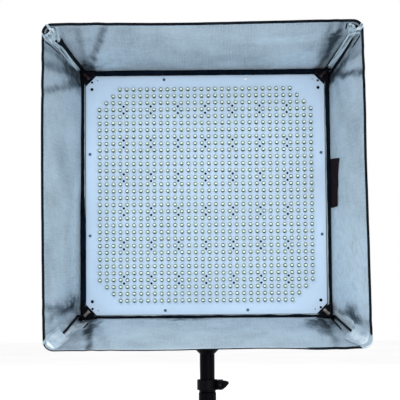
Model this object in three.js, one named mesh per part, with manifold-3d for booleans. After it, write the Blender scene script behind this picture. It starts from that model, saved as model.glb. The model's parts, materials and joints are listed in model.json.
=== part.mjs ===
// LED panel light: a square 1000-LED panel in a U-yoke, with a flared fabric skirt, on a stand adapter.
// Millimetres, +Z up. The origin is the centre of the stand socket's mouth, and the light faces -Y.

import * as THREE from 'three';
import { mergeVertices } from 'three/addons/utils/BufferGeometryUtils.js';
import Module from 'manifold-3d';

const wasm = await Module();
wasm.setup();

// Gap kept between two pieces that touch.
const GAP = 0.3;

// Stand adapter
const BARREL_R = 13;
const BARREL_H = 90;
const SOCKET_R = 8.25;
const SOCKET_DEPTH = 48;
const NECK_R = 12.2;
const NECK_TOP = 107.5;
const STEM_R = 11;
const STEM_BORE_R = 9;
const STEM_BOTTOM = 53.5;
const STEM_TOP = 145.1;
const COLLAR_LOW = 92.7;
const COLLAR_TOP = 108.5;
const COLLAR_R = 15.3;
const LEVER_PIN = { x: 18.8, y: -12 };
const LEVER_REACH = 13.2;
const SPIGOT_KNOB_Z = 25;

// Yoke and tilt pivot
const PIVOT_Z = 380;
const YOKE_BOTTOM = PIVOT_Z - 222;
const YOKE_THICK = 5;
const YOKE_WIDTH = 25;
const ARM_INNER = 199;
const STUD_R = 4;
const TILT_KNOB_R = 20;

// Lamp head, measured from the tilt pivot
const HOUSING_HALF = 181;
const HOUSING_FRONT = -44;
const HOUSING_BACK = 26.8;
const HOUSING_WALL = 1.6;
const BEZEL_HALF = 176;
const BOARD_HALF = 175.5;
const BOARD_CHAMFER = 15;
const BOARD_FRONT = -40;
const BOARD_THICK = 1.6;
const SPREADER_THICK = 1.5;
const LED_PITCH = 10;
const LED_COUNT = 32;
const LED_R = 2.9;
const LED_HEIGHT = 6;
const COVER_FRONT = HOUSING_BACK + GAP;
const COVER_THICK = 1.2;
const COVER_BACK = COVER_FRONT + COVER_THICK;

// Skirt
const SKIRT_BACK = -46.4;
const SKIRT_FRONT = -195;
const SKIRT_BACK_HALF = 184;
const SKIRT_HALF_X = 221;
const SKIRT_HALF_Z = 220;
const CLOTH = 1.5;
const ROD_R = 1.75;
const ROD_START = new THREE.Vector3(177.5, -49.5, 177.5);
const ROD_END = new THREE.Vector3(214.5, -190, 213.5);

const FINISH = {
  blackPaint: { color: 0x101116, roughness: 0.5, metalness: 0.3 },
  stemBlack: { color: 0x0e0f14, roughness: 0.4, metalness: 0.4 },
  blackPlastic: { color: 0x121318, roughness: 0.55, metalness: 0 },
  steel: { color: 0xa9acb0, roughness: 0.3, metalness: 1 },
  aluminium: { color: 0xb8bcc0, roughness: 0.45, metalness: 1 },
  whiteBoard: { color: 0xb8d0e6, roughness: 0.35, metalness: 0 },
  ledLens: { color: 0xdfe6d8, roughness: 0.15, metalness: 0 },
  circuitGreen: { color: 0x1d5a35, roughness: 0.5, metalness: 0 },
  glass: { color: 0x203038, roughness: 0.1, metalness: 0 },
  rubber: { color: 0x24262b, roughness: 0.8, metalness: 0 },
  silverCloth: { color: 0x9ab0c6, roughness: 0.45, metalness: 0.6 },
  blackCloth: { color: 0x0c131b, roughness: 0.85, metalness: 0 },
  rodFibre: { color: 0x1a1c20, roughness: 0.45, metalness: 0 },
};

// ---- Geometry helpers ----

function solid(geometry) {
  const bare = geometry.clone();
  bare.deleteAttribute('normal');
  bare.deleteAttribute('uv');
  const merged = mergeVertices(bare, 1e-4);
  return new wasm.Manifold(new wasm.Mesh({
    numProp: 3,
    vertProperties: new Float32Array(merged.attributes.position.array),
    triVerts: new Uint32Array(merged.index.array),
  }));
}

function geometryOf(manifold) {
  const mesh = manifold.getMesh();
  const geometry = new THREE.BufferGeometry();
  geometry.setAttribute('position', new THREE.BufferAttribute(mesh.vertProperties, 3));
  geometry.setIndex(new THREE.BufferAttribute(mesh.triVerts, 1));
  geometry.computeVertexNormals();
  return geometry;
}

function shape3d({ join, cut = [] }) {
  const joined = join.map(solid).reduce((a, b) => a.add(b));
  return geometryOf(cut.map(solid).reduce((a, b) => a.subtract(b), joined));
}

function box(x0, x1, y0, y1, z0, z1) {
  const geometry = new THREE.BoxGeometry(x1 - x0, y1 - y0, z1 - z0);
  return geometry.translate((x0 + x1) / 2, (y0 + y1) / 2, (z0 + z1) / 2);
}

function cylinderX(radius, x0, x1, y, z, sides = 20) {
  const geometry = new THREE.CylinderGeometry(radius, radius, x1 - x0, sides);
  return geometry.rotateZ(Math.PI / 2).translate((x0 + x1) / 2, y, z);
}

function cylinderY(radius, y0, y1, x, z, sides = 20) {
  return new THREE.CylinderGeometry(radius, radius, y1 - y0, sides).translate(x, (y0 + y1) / 2, z);
}

function cylinderZ(radius, z0, z1, x, y, sides = 20) {
  const geometry = new THREE.CylinderGeometry(radius, radius, z1 - z0, sides);
  return geometry.rotateX(Math.PI / 2).translate(x, y, (z0 + z1) / 2);
}

// A turned piece about Z: the profile is a list of [radius, height] pairs.
function turned(profile, sides = 24) {
  const points = profile.map(([radius, height]) => new THREE.Vector2(radius, height));
  return new THREE.LatheGeometry(points, sides).rotateX(Math.PI / 2);
}

// The same piece with its height along a direction, starting at a point.
function turnedAlong(profile, start, direction, sides = 12) {
  const points = profile.map(([radius, height]) => new THREE.Vector2(radius, height));
  const turn = new THREE.Quaternion().setFromUnitVectors(new THREE.Vector3(0, 1, 0), direction);
  return new THREE.LatheGeometry(points, sides).applyQuaternion(turn).translate(start.x, start.y, start.z);
}

function outline(points) {
  return new THREE.Shape(points.map(([x, y]) => new THREE.Vector2(x, y)));
}

function chamferedSquare(half, chamfer) {
  const inner = half - chamfer;
  return outline([
    [-inner, -half], [inner, -half], [half, -inner], [half, inner],
    [inner, half], [-inner, half], [-half, inner], [-half, -inner],
  ]);
}

function roundedSquare(halfX, halfZ, radius) {
  const shape = new THREE.Shape();
  shape.moveTo(-halfX + radius, -halfZ);
  shape.lineTo(halfX - radius, -halfZ);
  shape.absarc(halfX - radius, -halfZ + radius, radius, -Math.PI / 2, 0);
  shape.lineTo(halfX, halfZ - radius);
  shape.absarc(halfX - radius, halfZ - radius, radius, 0, Math.PI / 2);
  shape.lineTo(-halfX + radius, halfZ);
  shape.absarc(-halfX + radius, halfZ - radius, radius, Math.PI / 2, Math.PI);
  shape.lineTo(-halfX, -halfZ + radius);
  shape.absarc(-halfX + radius, -halfZ + radius, radius, Math.PI, 1.5 * Math.PI);
  return shape;
}

// Extrudes an outline drawn as seen from the front, between two depths.
function upright(shape, y0, y1, curveSegments = 3) {
  const geometry = new THREE.ExtrudeGeometry(shape, { depth: y1 - y0, bevelEnabled: false, curveSegments });
  return geometry.rotateX(Math.PI / 2).translate(0, y1, 0);
}

// A square ring with rounded corners, outside and inside.
function ring(half, radius, innerHalf, innerRadius, y0, y1) {
  const shape = roundedSquare(half, half, radius);
  shape.holes.push(roundedSquare(innerHalf, innerHalf, innerRadius));
  return upright(shape, y0, y1);
}

// ---- Scene helpers ----

const light = new THREE.Group();
const head = new THREE.Group();
head.position.set(0, 0, PIVOT_Z);
light.add(head);

function add(parent, name, geometry, finish) {
  const mesh = new THREE.Mesh(geometry, new THREE.MeshStandardMaterial(FINISH[finish]));
  mesh.name = name;
  parent.add(mesh);
  return mesh;
}

// ---- Stand adapter ----

function addBarrel() {
  const body = turned([
    [SOCKET_R, 1], [SOCKET_R + 1, 0], [BARREL_R - 1, 0], [BARREL_R, 1],
    [BARREL_R, BARREL_H - 1.5], [BARREL_R - 1.2, BARREL_H], [NECK_R, BARREL_H],
    [NECK_R, NECK_TOP], [STEM_R + GAP, NECK_TOP], [STEM_R + GAP, 52],
    [2, 52], [2, SOCKET_DEPTH], [SOCKET_R, SOCKET_DEPTH], [SOCKET_R, 1],
  ]);
  const boss = cylinderX(7.5, -18.5, -9.5, 0, SPIGOT_KNOB_Z);
  const socket = cylinderZ(SOCKET_R, 10, 40, 0, 0, 24);
  const thread = cylinderX(3.3, -20, -5, 0, SPIGOT_KNOB_Z);
  add(light, 'socket_barrel', shape3d({ join: [body, boss], cut: [socket, thread] }), 'stemBlack');
}

function starOutline(radius, lobes, depth, steps) {
  const shape = new THREE.Shape();
  for (let i = 0; i <= steps; i += 1) {
    const angle = (2 * Math.PI * i) / steps;
    const reach = radius + depth * Math.cos(lobes * angle);
    const point = [reach * Math.cos(angle), reach * Math.sin(angle)];
    if (i === 0) shape.moveTo(...point);
    else shape.lineTo(...point);
  }
  return shape;
}

function addSpigotKnob() {
  const screw = cylinderX(3, -24, -8.6, 0, SPIGOT_KNOB_Z, 16);
  const grip = new THREE.ExtrudeGeometry(starOutline(11, 5, 1.4, 30), { depth: 11, bevelEnabled: false })
    .rotateY(-Math.PI / 2)
    .translate(-23, 0, SPIGOT_KNOB_Z);
  const hub = cylinderX(6.5, -24, -19.2, 0, SPIGOT_KNOB_Z, 20);
  add(light, 'spigot_knob', shape3d({ join: [screw, hub, grip] }), 'blackPlastic');
}

function addCollar() {
  const middle = (COLLAR_LOW + COLLAR_TOP) / 2;
  const sleeve = turned([
    [NECK_R + 0.4, COLLAR_LOW], [COLLAR_R - 0.8, COLLAR_LOW], [COLLAR_R, COLLAR_LOW + 0.8],
    [COLLAR_R, COLLAR_TOP - 0.8], [COLLAR_R - 0.8, COLLAR_TOP], [NECK_R + 0.4, COLLAR_TOP],
    [NECK_R + 0.4, COLLAR_LOW],
  ]);
  const ears = box(13.6, 23.5, -6.5, 6.5, COLLAR_LOW + 0.5, COLLAR_TOP - 0.5);
  const slit = box(10, 25, -1.5, 1.5, COLLAR_LOW - 1, COLLAR_TOP + 1);
  const screwHole = cylinderY(2.3, -8, 8, LEVER_PIN.x, middle, 16);
  add(light, 'clamp_collar', shape3d({ join: [sleeve, ears], cut: [slit, screwHole] }), 'blackPlastic');

  const shank = cylinderY(2, LEVER_PIN.y + 2, 9, LEVER_PIN.x, middle, 16);
  const hexHead = cylinderY(4.2, 6.8, 10.4, LEVER_PIN.x, middle, 6);
  const eye = cylinderZ(3.6, middle - 2, middle + 2, LEVER_PIN.x, LEVER_PIN.y, 20);
  const pinHole = cylinderZ(1.8, middle - 9, middle + 9, LEVER_PIN.x, LEVER_PIN.y, 16);
  add(light, 'clamp_screw', shape3d({ join: [shank, hexHead, eye], cut: [pinHole] }), 'steel');

  const low = middle - 6.6;
  const top = middle + 6.9;
  const knuckle = cylinderZ(5, low, top, LEVER_PIN.x, LEVER_PIN.y, 24);
  const paddle = upright(outline([
    [LEVER_PIN.x, low], [LEVER_PIN.x + 6, low], [LEVER_PIN.x + LEVER_REACH, top - 6.5],
    [LEVER_PIN.x + LEVER_REACH, top], [LEVER_PIN.x, top],
  ]), LEVER_PIN.y - 2.6, LEVER_PIN.y + 2.6);
  const eyeSlot = cylinderZ(5.6, middle - 2.4, middle + 2.4, LEVER_PIN.x, LEVER_PIN.y, 24);
  add(light, 'clamp_lever', shape3d({ join: [knuckle, paddle], cut: [eyeSlot, pinHole] }), 'blackPlastic');

  const pin = cylinderZ(1.5, low - 0.8, top + 0.8, LEVER_PIN.x, LEVER_PIN.y, 16);
  add(light, 'lever_pin', pin, 'steel');
}

function addStem() {
  add(light, 'stem_tube', turned([
    [STEM_BORE_R, STEM_BOTTOM], [STEM_R - 0.5, STEM_BOTTOM], [STEM_R, STEM_BOTTOM + 0.5],
    [STEM_R, STEM_TOP], [STEM_BORE_R, STEM_TOP], [STEM_BORE_R, STEM_BOTTOM],
  ]), 'stemBlack');
  const flangeTop = YOKE_BOTTOM - GAP;
  add(light, 'stem_flange', turned([
    [0, 130], [STEM_BORE_R - GAP, 130], [STEM_BORE_R - GAP, STEM_TOP + GAP], [STEM_R, STEM_TOP + GAP],
    [19, 154], [19, flangeTop - 0.6], [18.4, flangeTop], [5.2, flangeTop], [5.2, 136], [0, 136],
  ]), 'stemBlack');
  const baseTop = YOKE_BOTTOM + YOKE_THICK;
  const shank = cylinderZ(4.8, 137, baseTop + 2, 0, 0, 20);
  const washer = cylinderZ(10, baseTop + GAP, baseTop + GAP + 1.6, 0, 0, 24);
  const hexHead = cylinderZ(8, baseTop + 1.5, baseTop + 8, 0, 0, 6);
  add(light, 'pan_bolt', shape3d({ join: [shank, washer, hexHead] }), 'steel');
}

// ---- Yoke ----

function addYoke() {
  const outer = ARM_INNER + YOKE_THICK;
  const bottom = YOKE_BOTTOM - PIVOT_Z;
  const top = 18;
  const bendRadius = 13;
  const shape = new THREE.Shape();
  shape.moveTo(-outer, top);
  shape.lineTo(-outer, bottom + bendRadius);
  shape.absarc(-outer + bendRadius, bottom + bendRadius, bendRadius, Math.PI, 1.5 * Math.PI);
  shape.lineTo(outer - bendRadius, bottom);
  shape.absarc(outer - bendRadius, bottom + bendRadius, bendRadius, -Math.PI / 2, 0);
  shape.lineTo(outer, top);
  shape.lineTo(ARM_INNER, top);
  const innerBend = bendRadius - YOKE_THICK;
  shape.lineTo(ARM_INNER, bottom + bendRadius);
  shape.absarc(ARM_INNER - innerBend, bottom + bendRadius, innerBend, 0, -Math.PI / 2, true);
  shape.lineTo(-ARM_INNER + innerBend, bottom + YOKE_THICK);
  shape.absarc(-ARM_INNER + innerBend, bottom + bendRadius, innerBend, -Math.PI / 2, -Math.PI, true);
  shape.lineTo(-ARM_INNER, top);
  const strap = upright(shape, -YOKE_WIDTH / 2, YOKE_WIDTH / 2, 6);
  const endCentre = top - YOKE_WIDTH / 2;
  const keep = solid(cylinderX(YOKE_WIDTH / 2, -outer - 1, outer + 1, 0, endCentre, 32));
  const block = solid(box(-outer - 2, outer + 2, -20, 20, endCentre, top + 2));
  const studHole = cylinderX(STUD_R + 0.4, -outer - 1, outer + 1, 0, 0);
  const panHole = cylinderZ(5.2, bottom - 1, bottom + YOKE_THICK + 1, 0, 0);
  const yoke = [studHole, panHole].map(solid)
    .reduce((a, b) => a.subtract(b), solid(strap).subtract(block.subtract(keep)));
  add(head, 'yoke', geometryOf(yoke), 'blackPaint');
}

function addPivot(side, sign) {
  const mirror = (x0, x1) => (sign > 0 ? [x0, x1] : [-x1, -x0]);
  const bossStart = HOUSING_HALF + GAP;
  const bossEnd = ARM_INNER - 3;
  const bore = cylinderX(STUD_R + GAP, ...mirror(bossStart - 1, ARM_INNER + 30), 0, 0);
  const boss = cylinderX(13, ...mirror(bossStart, bossEnd), 0, 0);
  add(head, `pivot_boss_${side}`, shape3d({ join: [boss], cut: [bore] }), 'blackPaint');
  const washer = cylinderX(12, ...mirror(bossEnd + GAP, ARM_INNER - GAP), 0, 0);
  add(head, `friction_washer_${side}`, shape3d({ join: [washer], cut: [bore] }), 'rubber');

  const armOuter = ARM_INNER + YOKE_THICK;
  const plate = box(...mirror(HOUSING_HALF - 6, HOUSING_HALF - HOUSING_WALL - GAP), -16, 16, -16, 16);
  const stud = cylinderX(STUD_R, ...mirror(HOUSING_HALF - 5, armOuter + 17), 0, 0, 20);
  add(head, `tilt_stud_${side}`, shape3d({ join: [plate, stud] }), 'steel');

  const hub = cylinderX(11, ...mirror(armOuter + GAP, armOuter + 8), 0, 0, 28);
  const gripStart = armOuter + 7;
  const grip = new THREE.ExtrudeGeometry(starOutline(TILT_KNOB_R, 6, 1.8, 36), { depth: 15, bevelEnabled: false })
    .rotateY(sign * Math.PI / 2)
    .translate(sign * gripStart, 0, 0);
  const studBore = cylinderX(STUD_R + GAP, ...mirror(armOuter, armOuter + 17.5), 0, 0, 20);
  const knob = shape3d({ join: [hub, grip], cut: [studBore] });
  add(head, `tilt_knob_${side}`, knob, 'blackPlastic');
}

// ---- Lamp head ----

function addHousing() {
  const bezelBack = HOUSING_FRONT + 6;
  const inner = HOUSING_HALF - HOUSING_WALL;
  const bezel = ring(HOUSING_HALF, 6, BEZEL_HALF, 0.2, HOUSING_FRONT, bezelBack);
  const wall = ring(HOUSING_HALF, 6, inner, 3.5, bezelBack - 1, HOUSING_BACK);
  const studHole = cylinderX(STUD_R + GAP, -200, 200, 0, 0);
  add(head, 'housing_frame', shape3d({ join: [bezel, wall], cut: [studHole] }), 'blackPaint');
}

function addBoard() {
  const shape = chamferedSquare(BOARD_HALF, BOARD_CHAMFER);
  const addHole = (x, z, radius) => {
    const hole = new THREE.Path();
    hole.absarc(x, z, radius, 0, 2 * Math.PI, true);
    shape.holes.push(hole);
  };
  for (const sx of [-1, 1]) {
    for (const sz of [-1, 1]) {
      addHole(sx * (BOARD_HALF - 9), sz * (BOARD_HALF - 19.5), 2.45);
      addHole(sx * (BOARD_HALF - 9.3), sz * (BOARD_HALF - 8.9), 1.8);
    }
  }
  add(head, 'led_board', upright(shape, BOARD_FRONT, BOARD_FRONT + BOARD_THICK, 5), 'whiteBoard');

  const gridHalf = ((LED_COUNT - 1) / 2) * LED_PITCH + LED_R;
  const ledShape = chamferedSquare(gridHalf, 3 * LED_PITCH - 2 * LED_R);
  add(head, 'led_array', upright(ledShape, BOARD_FRONT - LED_HEIGHT - GAP, BOARD_FRONT - GAP), 'ledLens');

  const spreaderFront = BOARD_FRONT + BOARD_THICK + GAP;
  const spreaderBack = spreaderFront + SPREADER_THICK;
  const spreader = upright(chamferedSquare(BOARD_HALF - 0.5, BOARD_CHAMFER), spreaderFront, spreaderBack);
  add(head, 'heat_spreader', spreader, 'aluminium');
  addHeatSink(spreaderBack + GAP);
}

function addHeatSink(front) {
  const half = 120;
  const fins = 11;
  const finThick = 2;
  const finDepth = 14;
  const finPitch = (2 * half - finThick) / (fins - 1);
  const points = [[-half, 0], [half, 0]];
  for (let i = fins - 1; i >= 0; i -= 1) {
    const left = -half + i * finPitch;
    const right = left + finThick;
    if (i < fins - 1) points.push([right, 3]);
    points.push([right, 3 + finDepth], [left, 3 + finDepth]);
    if (i > 0) points.push([left, 3]);
  }
  const comb = new THREE.ExtrudeGeometry(outline(points), { depth: 2 * half, bevelEnabled: false });
  add(head, 'heat_sink', comb.translate(0, front, -half), 'aluminium');
}

function addElectronics() {
  const boardBack = 14;
  const parts = [box(-62, 62, boardBack - 1.6, boardBack, -142, -72)];
  for (const [x, z, half, deep] of [[-45, -90, 8, 12], [-20, -90, 6, 9], [10, -95, 10, 6], [40, -90, 7, 14]]) {
    parts.push(box(x - half, x + half, boardBack - deep, boardBack - 1, z - half, z + half));
  }
  add(head, 'driver_board', shape3d({ join: parts }), 'circuitGreen');

  const supply = box(36, 146, -8, 22, 14, 94);
  const terminals = box(56, 126, -4, 10, 93, 102);
  add(head, 'power_supply', shape3d({ join: [supply, terminals] }), 'aluminium');
}

// ---- Rear of the head ----

const INLET = { x: -130, z: -120, halfX: 14, halfZ: 10.5 };
const CONTACT_END = 22;
const DC_INLET = { x: -130, z: -75, radius: 11.5 };
const SWITCH = { x: 130, z: -120, halfX: 10, halfZ: 14 };
const PANEL = { halfX: 75, low: -150, top: -65, thick: 6 };
const PANEL_FRONT = COVER_BACK + GAP;
const PANEL_BACK = PANEL_FRONT + PANEL.thick;
const DIMMER = { x: 48, z: -105 };
const BUTTONS = [-54, -34, -14, 6];
const BUTTON_Z = -128;
const DISPLAY = { x0: -62, x1: 14, z0: -108, z1: -80 };

function addRearCover() {
  const plate = upright(roundedSquare(HOUSING_HALF, HOUSING_HALF, 6), COVER_FRONT, COVER_BACK);
  const flangeHalf = HOUSING_HALF - HOUSING_WALL - 0.5;
  const flange = ring(flangeHalf, 3.2, flangeHalf - 1.5, 1.7, 16, COVER_FRONT + 0.5);
  const cuts = [
    box(INLET.x - INLET.halfX - GAP, INLET.x + INLET.halfX + GAP, 20, 32,
      INLET.z - INLET.halfZ - GAP, INLET.z + INLET.halfZ + GAP),
    cylinderY(DC_INLET.radius + GAP, 20, 32, DC_INLET.x, DC_INLET.z),
    box(SWITCH.x - SWITCH.halfX - GAP, SWITCH.x + SWITCH.halfX + GAP, 20, 32,
      SWITCH.z - SWITCH.halfZ - GAP, SWITCH.z + SWITCH.halfZ + GAP),
  ];
  for (const side of [-1, 1]) {
    for (let row = 0; row < 9; row += 1) {
      const z = 10 + row * 15;
      cuts.push(box(side * 115 - 32, side * 115 + 32, 20, 32, z, z + 4));
    }
  }
  add(head, 'rear_cover', shape3d({ join: [plate, flange], cut: cuts }), 'blackPaint');
}

function addControls() {
  const plate = upright(
    roundedSquare(PANEL.halfX, (PANEL.top - PANEL.low) / 2, 5), PANEL_FRONT, PANEL_BACK,
  ).translate(0, 0, (PANEL.top + PANEL.low) / 2);
  const cuts = [
    box(DISPLAY.x0, DISPLAY.x1, PANEL_BACK - 2.5, PANEL_BACK + 1, DISPLAY.z0, DISPLAY.z1),
    cylinderY(3.5, PANEL_FRONT + 1, PANEL_BACK + 1, DIMMER.x, DIMMER.z),
  ];
  for (const x of BUTTONS) cuts.push(cylinderY(5, PANEL_FRONT - 1, PANEL_BACK + 1, x, BUTTON_Z));
  add(head, 'control_panel', shape3d({ join: [plate], cut: cuts }), 'blackPlastic');

  add(head, 'display_window', box(DISPLAY.x0 + GAP, DISPLAY.x1 - GAP, PANEL_BACK - 2.2, PANEL_BACK - 0.4,
    DISPLAY.z0 + GAP, DISPLAY.z1 - GAP), 'glass');

  const shaft = cylinderY(3, PANEL_FRONT + 1.5, PANEL_BACK + 4, DIMMER.x, DIMMER.z, 16);
  const grip = new THREE.ExtrudeGeometry(starOutline(13, 12, 0.5, 48), { depth: 13, bevelEnabled: false })
    .rotateX(-Math.PI / 2)
    .translate(DIMMER.x, PANEL_BACK + 1, DIMMER.z);
  add(head, 'dimmer_knob', shape3d({ join: [shaft, grip] }), 'blackPlastic');

  BUTTONS.forEach((x, index) => {
    const button = cylinderY(4.6, PANEL_FRONT + 1.8, PANEL_BACK + 1.6, x, BUTTON_Z, 20);
    add(head, `mode_button_${index + 1}`, button, 'rubber');
  });
}

function addSwitch() {
  const flangeBack = COVER_BACK + GAP + 2;
  const flange = box(SWITCH.x - SWITCH.halfX - 2.5, SWITCH.x + SWITCH.halfX + 2.5, COVER_BACK + GAP, flangeBack,
    SWITCH.z - SWITCH.halfZ - 2.5, SWITCH.z + SWITCH.halfZ + 2.5);
  const body = box(SWITCH.x - SWITCH.halfX, SWITCH.x + SWITCH.halfX, 10, flangeBack - 1,
    SWITCH.z - SWITCH.halfZ, SWITCH.z + SWITCH.halfZ);
  const well = box(SWITCH.x - SWITCH.halfX + 1.5, SWITCH.x + SWITCH.halfX - 1.5, 15, flangeBack + 1,
    SWITCH.z - SWITCH.halfZ + 1.5, SWITCH.z + SWITCH.halfZ - 1.5);
  add(head, 'switch_body', shape3d({ join: [flange, body], cut: [well] }), 'blackPlastic');

  // The rocker's face is a shallow V; it rests tipped to its off side.
  const halfZ = SWITCH.halfZ - 2.6;
  const rocker = new THREE.ExtrudeGeometry(outline([
    [-5, -5], [5, -5], [halfZ, 3.4], [0, 1.6], [-halfZ, 3.4],
  ]), { depth: 2 * (SWITCH.halfX - 2), bevelEnabled: false });
  const turn = new THREE.Matrix4().makeBasis(
    new THREE.Vector3(0, 0, 1), new THREE.Vector3(0, 1, 0), new THREE.Vector3(-1, 0, 0));
  rocker.applyMatrix4(turn).translate(SWITCH.halfX - 2, 0, 0).rotateX(THREE.MathUtils.degToRad(-8));
  add(head, 'power_rocker', rocker, 'blackPlastic').position.set(SWITCH.x, flangeBack - 3, SWITCH.z);
}

function addInlets() {
  const flangeBack = COVER_BACK + GAP + 2;
  const inletBody = box(INLET.x - INLET.halfX, INLET.x + INLET.halfX, 6, flangeBack - 1,
    INLET.z - INLET.halfZ, INLET.z + INLET.halfZ);
  const inletFlange = upright(roundedSquare(25, 12.5, 4), COVER_BACK + GAP, flangeBack)
    .translate(INLET.x, 0, INLET.z);
  const well = box(INLET.x - INLET.halfX + 2, INLET.x + INLET.halfX - 2, 11, flangeBack + 1,
    INLET.z - INLET.halfZ + 2, INLET.z + INLET.halfZ - 2);
  const blades = [-7, 0, 7].map((x) => {
    const low = INLET.z + (x === 0 ? 0 : -3);
    return box(INLET.x + x - 1, INLET.x + x + 1, 10, CONTACT_END, low, low + 4);
  });
  const shell = shape3d({ join: [inletFlange, inletBody], cut: [well] });
  add(head, 'power_inlet', shape3d({ join: [shell, ...blades] }), 'blackPlastic');

  const dcFlange = upright(roundedSquare(13, 15.5, 3), COVER_BACK + GAP, flangeBack)
    .translate(DC_INLET.x, 0, DC_INLET.z);
  const dcBody = cylinderY(DC_INLET.radius, 4, flangeBack - 1, DC_INLET.x, DC_INLET.z);
  const dcWell = cylinderY(DC_INLET.radius - 1.6, 12, flangeBack + 1, DC_INLET.x, DC_INLET.z);
  const dcShell = shape3d({ join: [dcFlange, dcBody], cut: [dcWell] });
  const pins = [45, 135, 225, 315].map((degrees) => {
    const angle = THREE.MathUtils.degToRad(degrees);
    const [x, z] = [DC_INLET.x + 5 * Math.cos(angle), DC_INLET.z + 5 * Math.sin(angle)];
    return cylinderY(1.1, 11, CONTACT_END, x, z, 8);
  });
  add(head, 'dc_inlet', shape3d({ join: [dcShell, ...pins] }), 'steel');
}

function addBatteryPlate() {
  const back = PANEL_FRONT + 14;
  const plate = upright(roundedSquare(47, 62, 5), PANEL_FRONT, back).translate(0, 0, 72);
  const wedge = new THREE.ExtrudeGeometry(outline([[-24, 60], [24, 60], [13, -20], [-13, -20]]),
    { depth: 8, bevelEnabled: false }).rotateX(Math.PI / 2).translate(0, back + 1, 78);
  const releaseWell = box(30, 50, PANEL_FRONT + 4, PANEL_FRONT + 11, 60, 84);
  add(head, 'battery_plate', shape3d({ join: [plate], cut: [wedge, releaseWell] }), 'blackPlastic');
  add(head, 'battery_release', box(34, 50.5, PANEL_FRONT + 4.4, PANEL_FRONT + 10.6, 60.4, 83.6), 'steel');
}

// ---- Skirt ----

const SIDES = [
  { name: 'right', turn: 0, front: SKIRT_HALF_X, across: SKIRT_HALF_Z, full: true },
  { name: 'top', turn: -Math.PI / 2, front: SKIRT_HALF_Z, across: SKIRT_HALF_X, full: false },
  { name: 'left', turn: Math.PI, front: SKIRT_HALF_X, across: SKIRT_HALF_Z, full: true },
  { name: 'bottom', turn: Math.PI / 2, front: SKIRT_HALF_Z, across: SKIRT_HALF_X, full: false },
];

// A flat piece on a skirt wall: local +X points out of the wall, and local -Y runs along it to the front.
function wallSlab(points, outerFace, thick) {
  const geometry = new THREE.ExtrudeGeometry(outline(points), { depth: thick, bevelEnabled: false });
  const turn = new THREE.Matrix4().makeBasis(
    new THREE.Vector3(0, 0, 1), new THREE.Vector3(0, -1, 0), new THREE.Vector3(1, 0, 0));
  return geometry.applyMatrix4(turn).translate(outerFace - thick, 0, 0);
}

function addSkirtWalls() {
  for (const side of SIDES) {
    const depth = SKIRT_BACK - SKIRT_FRONT;
    const flare = Math.atan2(side.front - SKIRT_BACK_HALF, depth);
    const slope = Math.hypot(side.front - SKIRT_BACK_HALF, depth);
    const turned90 = new THREE.Group();
    turned90.rotation.y = side.turn;
    const wall = new THREE.Group();
    wall.position.set(SKIRT_BACK_HALF, SKIRT_BACK, 0);
    wall.rotation.z = flare;
    turned90.add(wall);
    head.add(turned90);
    const inset = side.full ? 0 : CLOTH + 0.7;
    const back = SKIRT_BACK_HALF - inset;
    const front = side.across - inset;
    const sheet = wallSlab([[-back, 0], [back, 0], [front, slope], [-front, slope]], 0, CLOTH);
    add(wall, `skirt_${side.name}`, sheet, 'silverCloth');
    if (side.name === 'right') {
      const tab = wallSlab([[-20, 1], [53, 1], [51, 48], [-17, 48]], -CLOTH - GAP, 1);
      add(wall, 'closure_tab', tab, 'blackCloth');
    }
  }
}

function addSkirtBand() {
  const innerHalf = HOUSING_HALF + 0.4;
  const outerHalf = innerHalf + 2;
  const sleeve = ring(outerHalf, 8.4, innerHalf, 6.4, HOUSING_FRONT - 1, -15);
  const lipCover = ring(outerHalf, 8.4, BEZEL_HALF + 1.5, 1, HOUSING_FRONT - 1.9, HOUSING_FRONT - 0.4);
  add(head, 'skirt_band', shape3d({ join: [sleeve, lipCover] }), 'blackCloth');
}

function addCornerRod(name, sx, sz) {
  const start = ROD_START.clone().multiply(new THREE.Vector3(sx, 1, sz));
  const end = ROD_END.clone().multiply(new THREE.Vector3(sx, 1, sz));
  const direction = end.clone().sub(start).normalize();
  const length = end.distanceTo(start);
  const tip = 0.8;
  const rod = [[0, 0], [ROD_R, 0], [ROD_R, length - tip], [ROD_R - 0.6, length], [0, length]];
  add(head, `skirt_rod_${name}`, turnedAlong(rod, start, direction), 'rodFibre');

  const wedge = (corner, leg, y0, y1) => upright(outline([
    [sx * corner, sz * corner], [sx * corner, sz * (corner - leg)], [sx * (corner - leg), sz * corner],
  ]), y0, y1);
  const root = wedge(BEZEL_HALF - 0.4, 12.8, -47, -34.6);
  const cap = wedge(HOUSING_HALF, 22.5, -52, HOUSING_FRONT - 2.2);
  const ferruleStart = start.clone().addScaledVector(direction, 1);
  const ferrule = turnedAlong([[0, 0], [3.2, 0], [3.2, 15], [0, 15]], ferruleStart, direction, 16);
  const boreStart = start.clone().addScaledVector(direction, -GAP);
  const bore = turnedAlong([[0, 0], [2.1, 0], [2.1, 30], [0, 30]], boreStart, direction, 12);
  add(head, `corner_socket_${name}`, shape3d({ join: [root, cap, ferrule], cut: [bore] }), 'blackPlastic');

  const cup = [[0, 22.4], [2.1, 22.4], [2.1, 0], [3.1, 0], [3.1, 24], [0, 24]];
  const cupStart = end.clone().addScaledVector(direction, -22);
  add(head, `rod_pocket_${name}`, turnedAlong(cup, cupStart, direction, 12), 'silverCloth');
}

addBarrel();
addSpigotKnob();
addCollar();
addStem();
addYoke();
addPivot('left', -1);
addPivot('right', 1);
addHousing();
addBoard();
addElectronics();
addRearCover();
addControls();
addSwitch();
addInlets();
addBatteryPlate();
addSkirtWalls();
addSkirtBand();
addCornerRod('top_left', -1, 1);
addCornerRod('top_right', 1, 1);
addCornerRod('bottom_left', -1, -1);
addCornerRod('bottom_right', 1, -1);

export default light;
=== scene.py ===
"""A studio LED panel with a flared fabric skirt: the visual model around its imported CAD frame."""

import json
import math
import random

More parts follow.
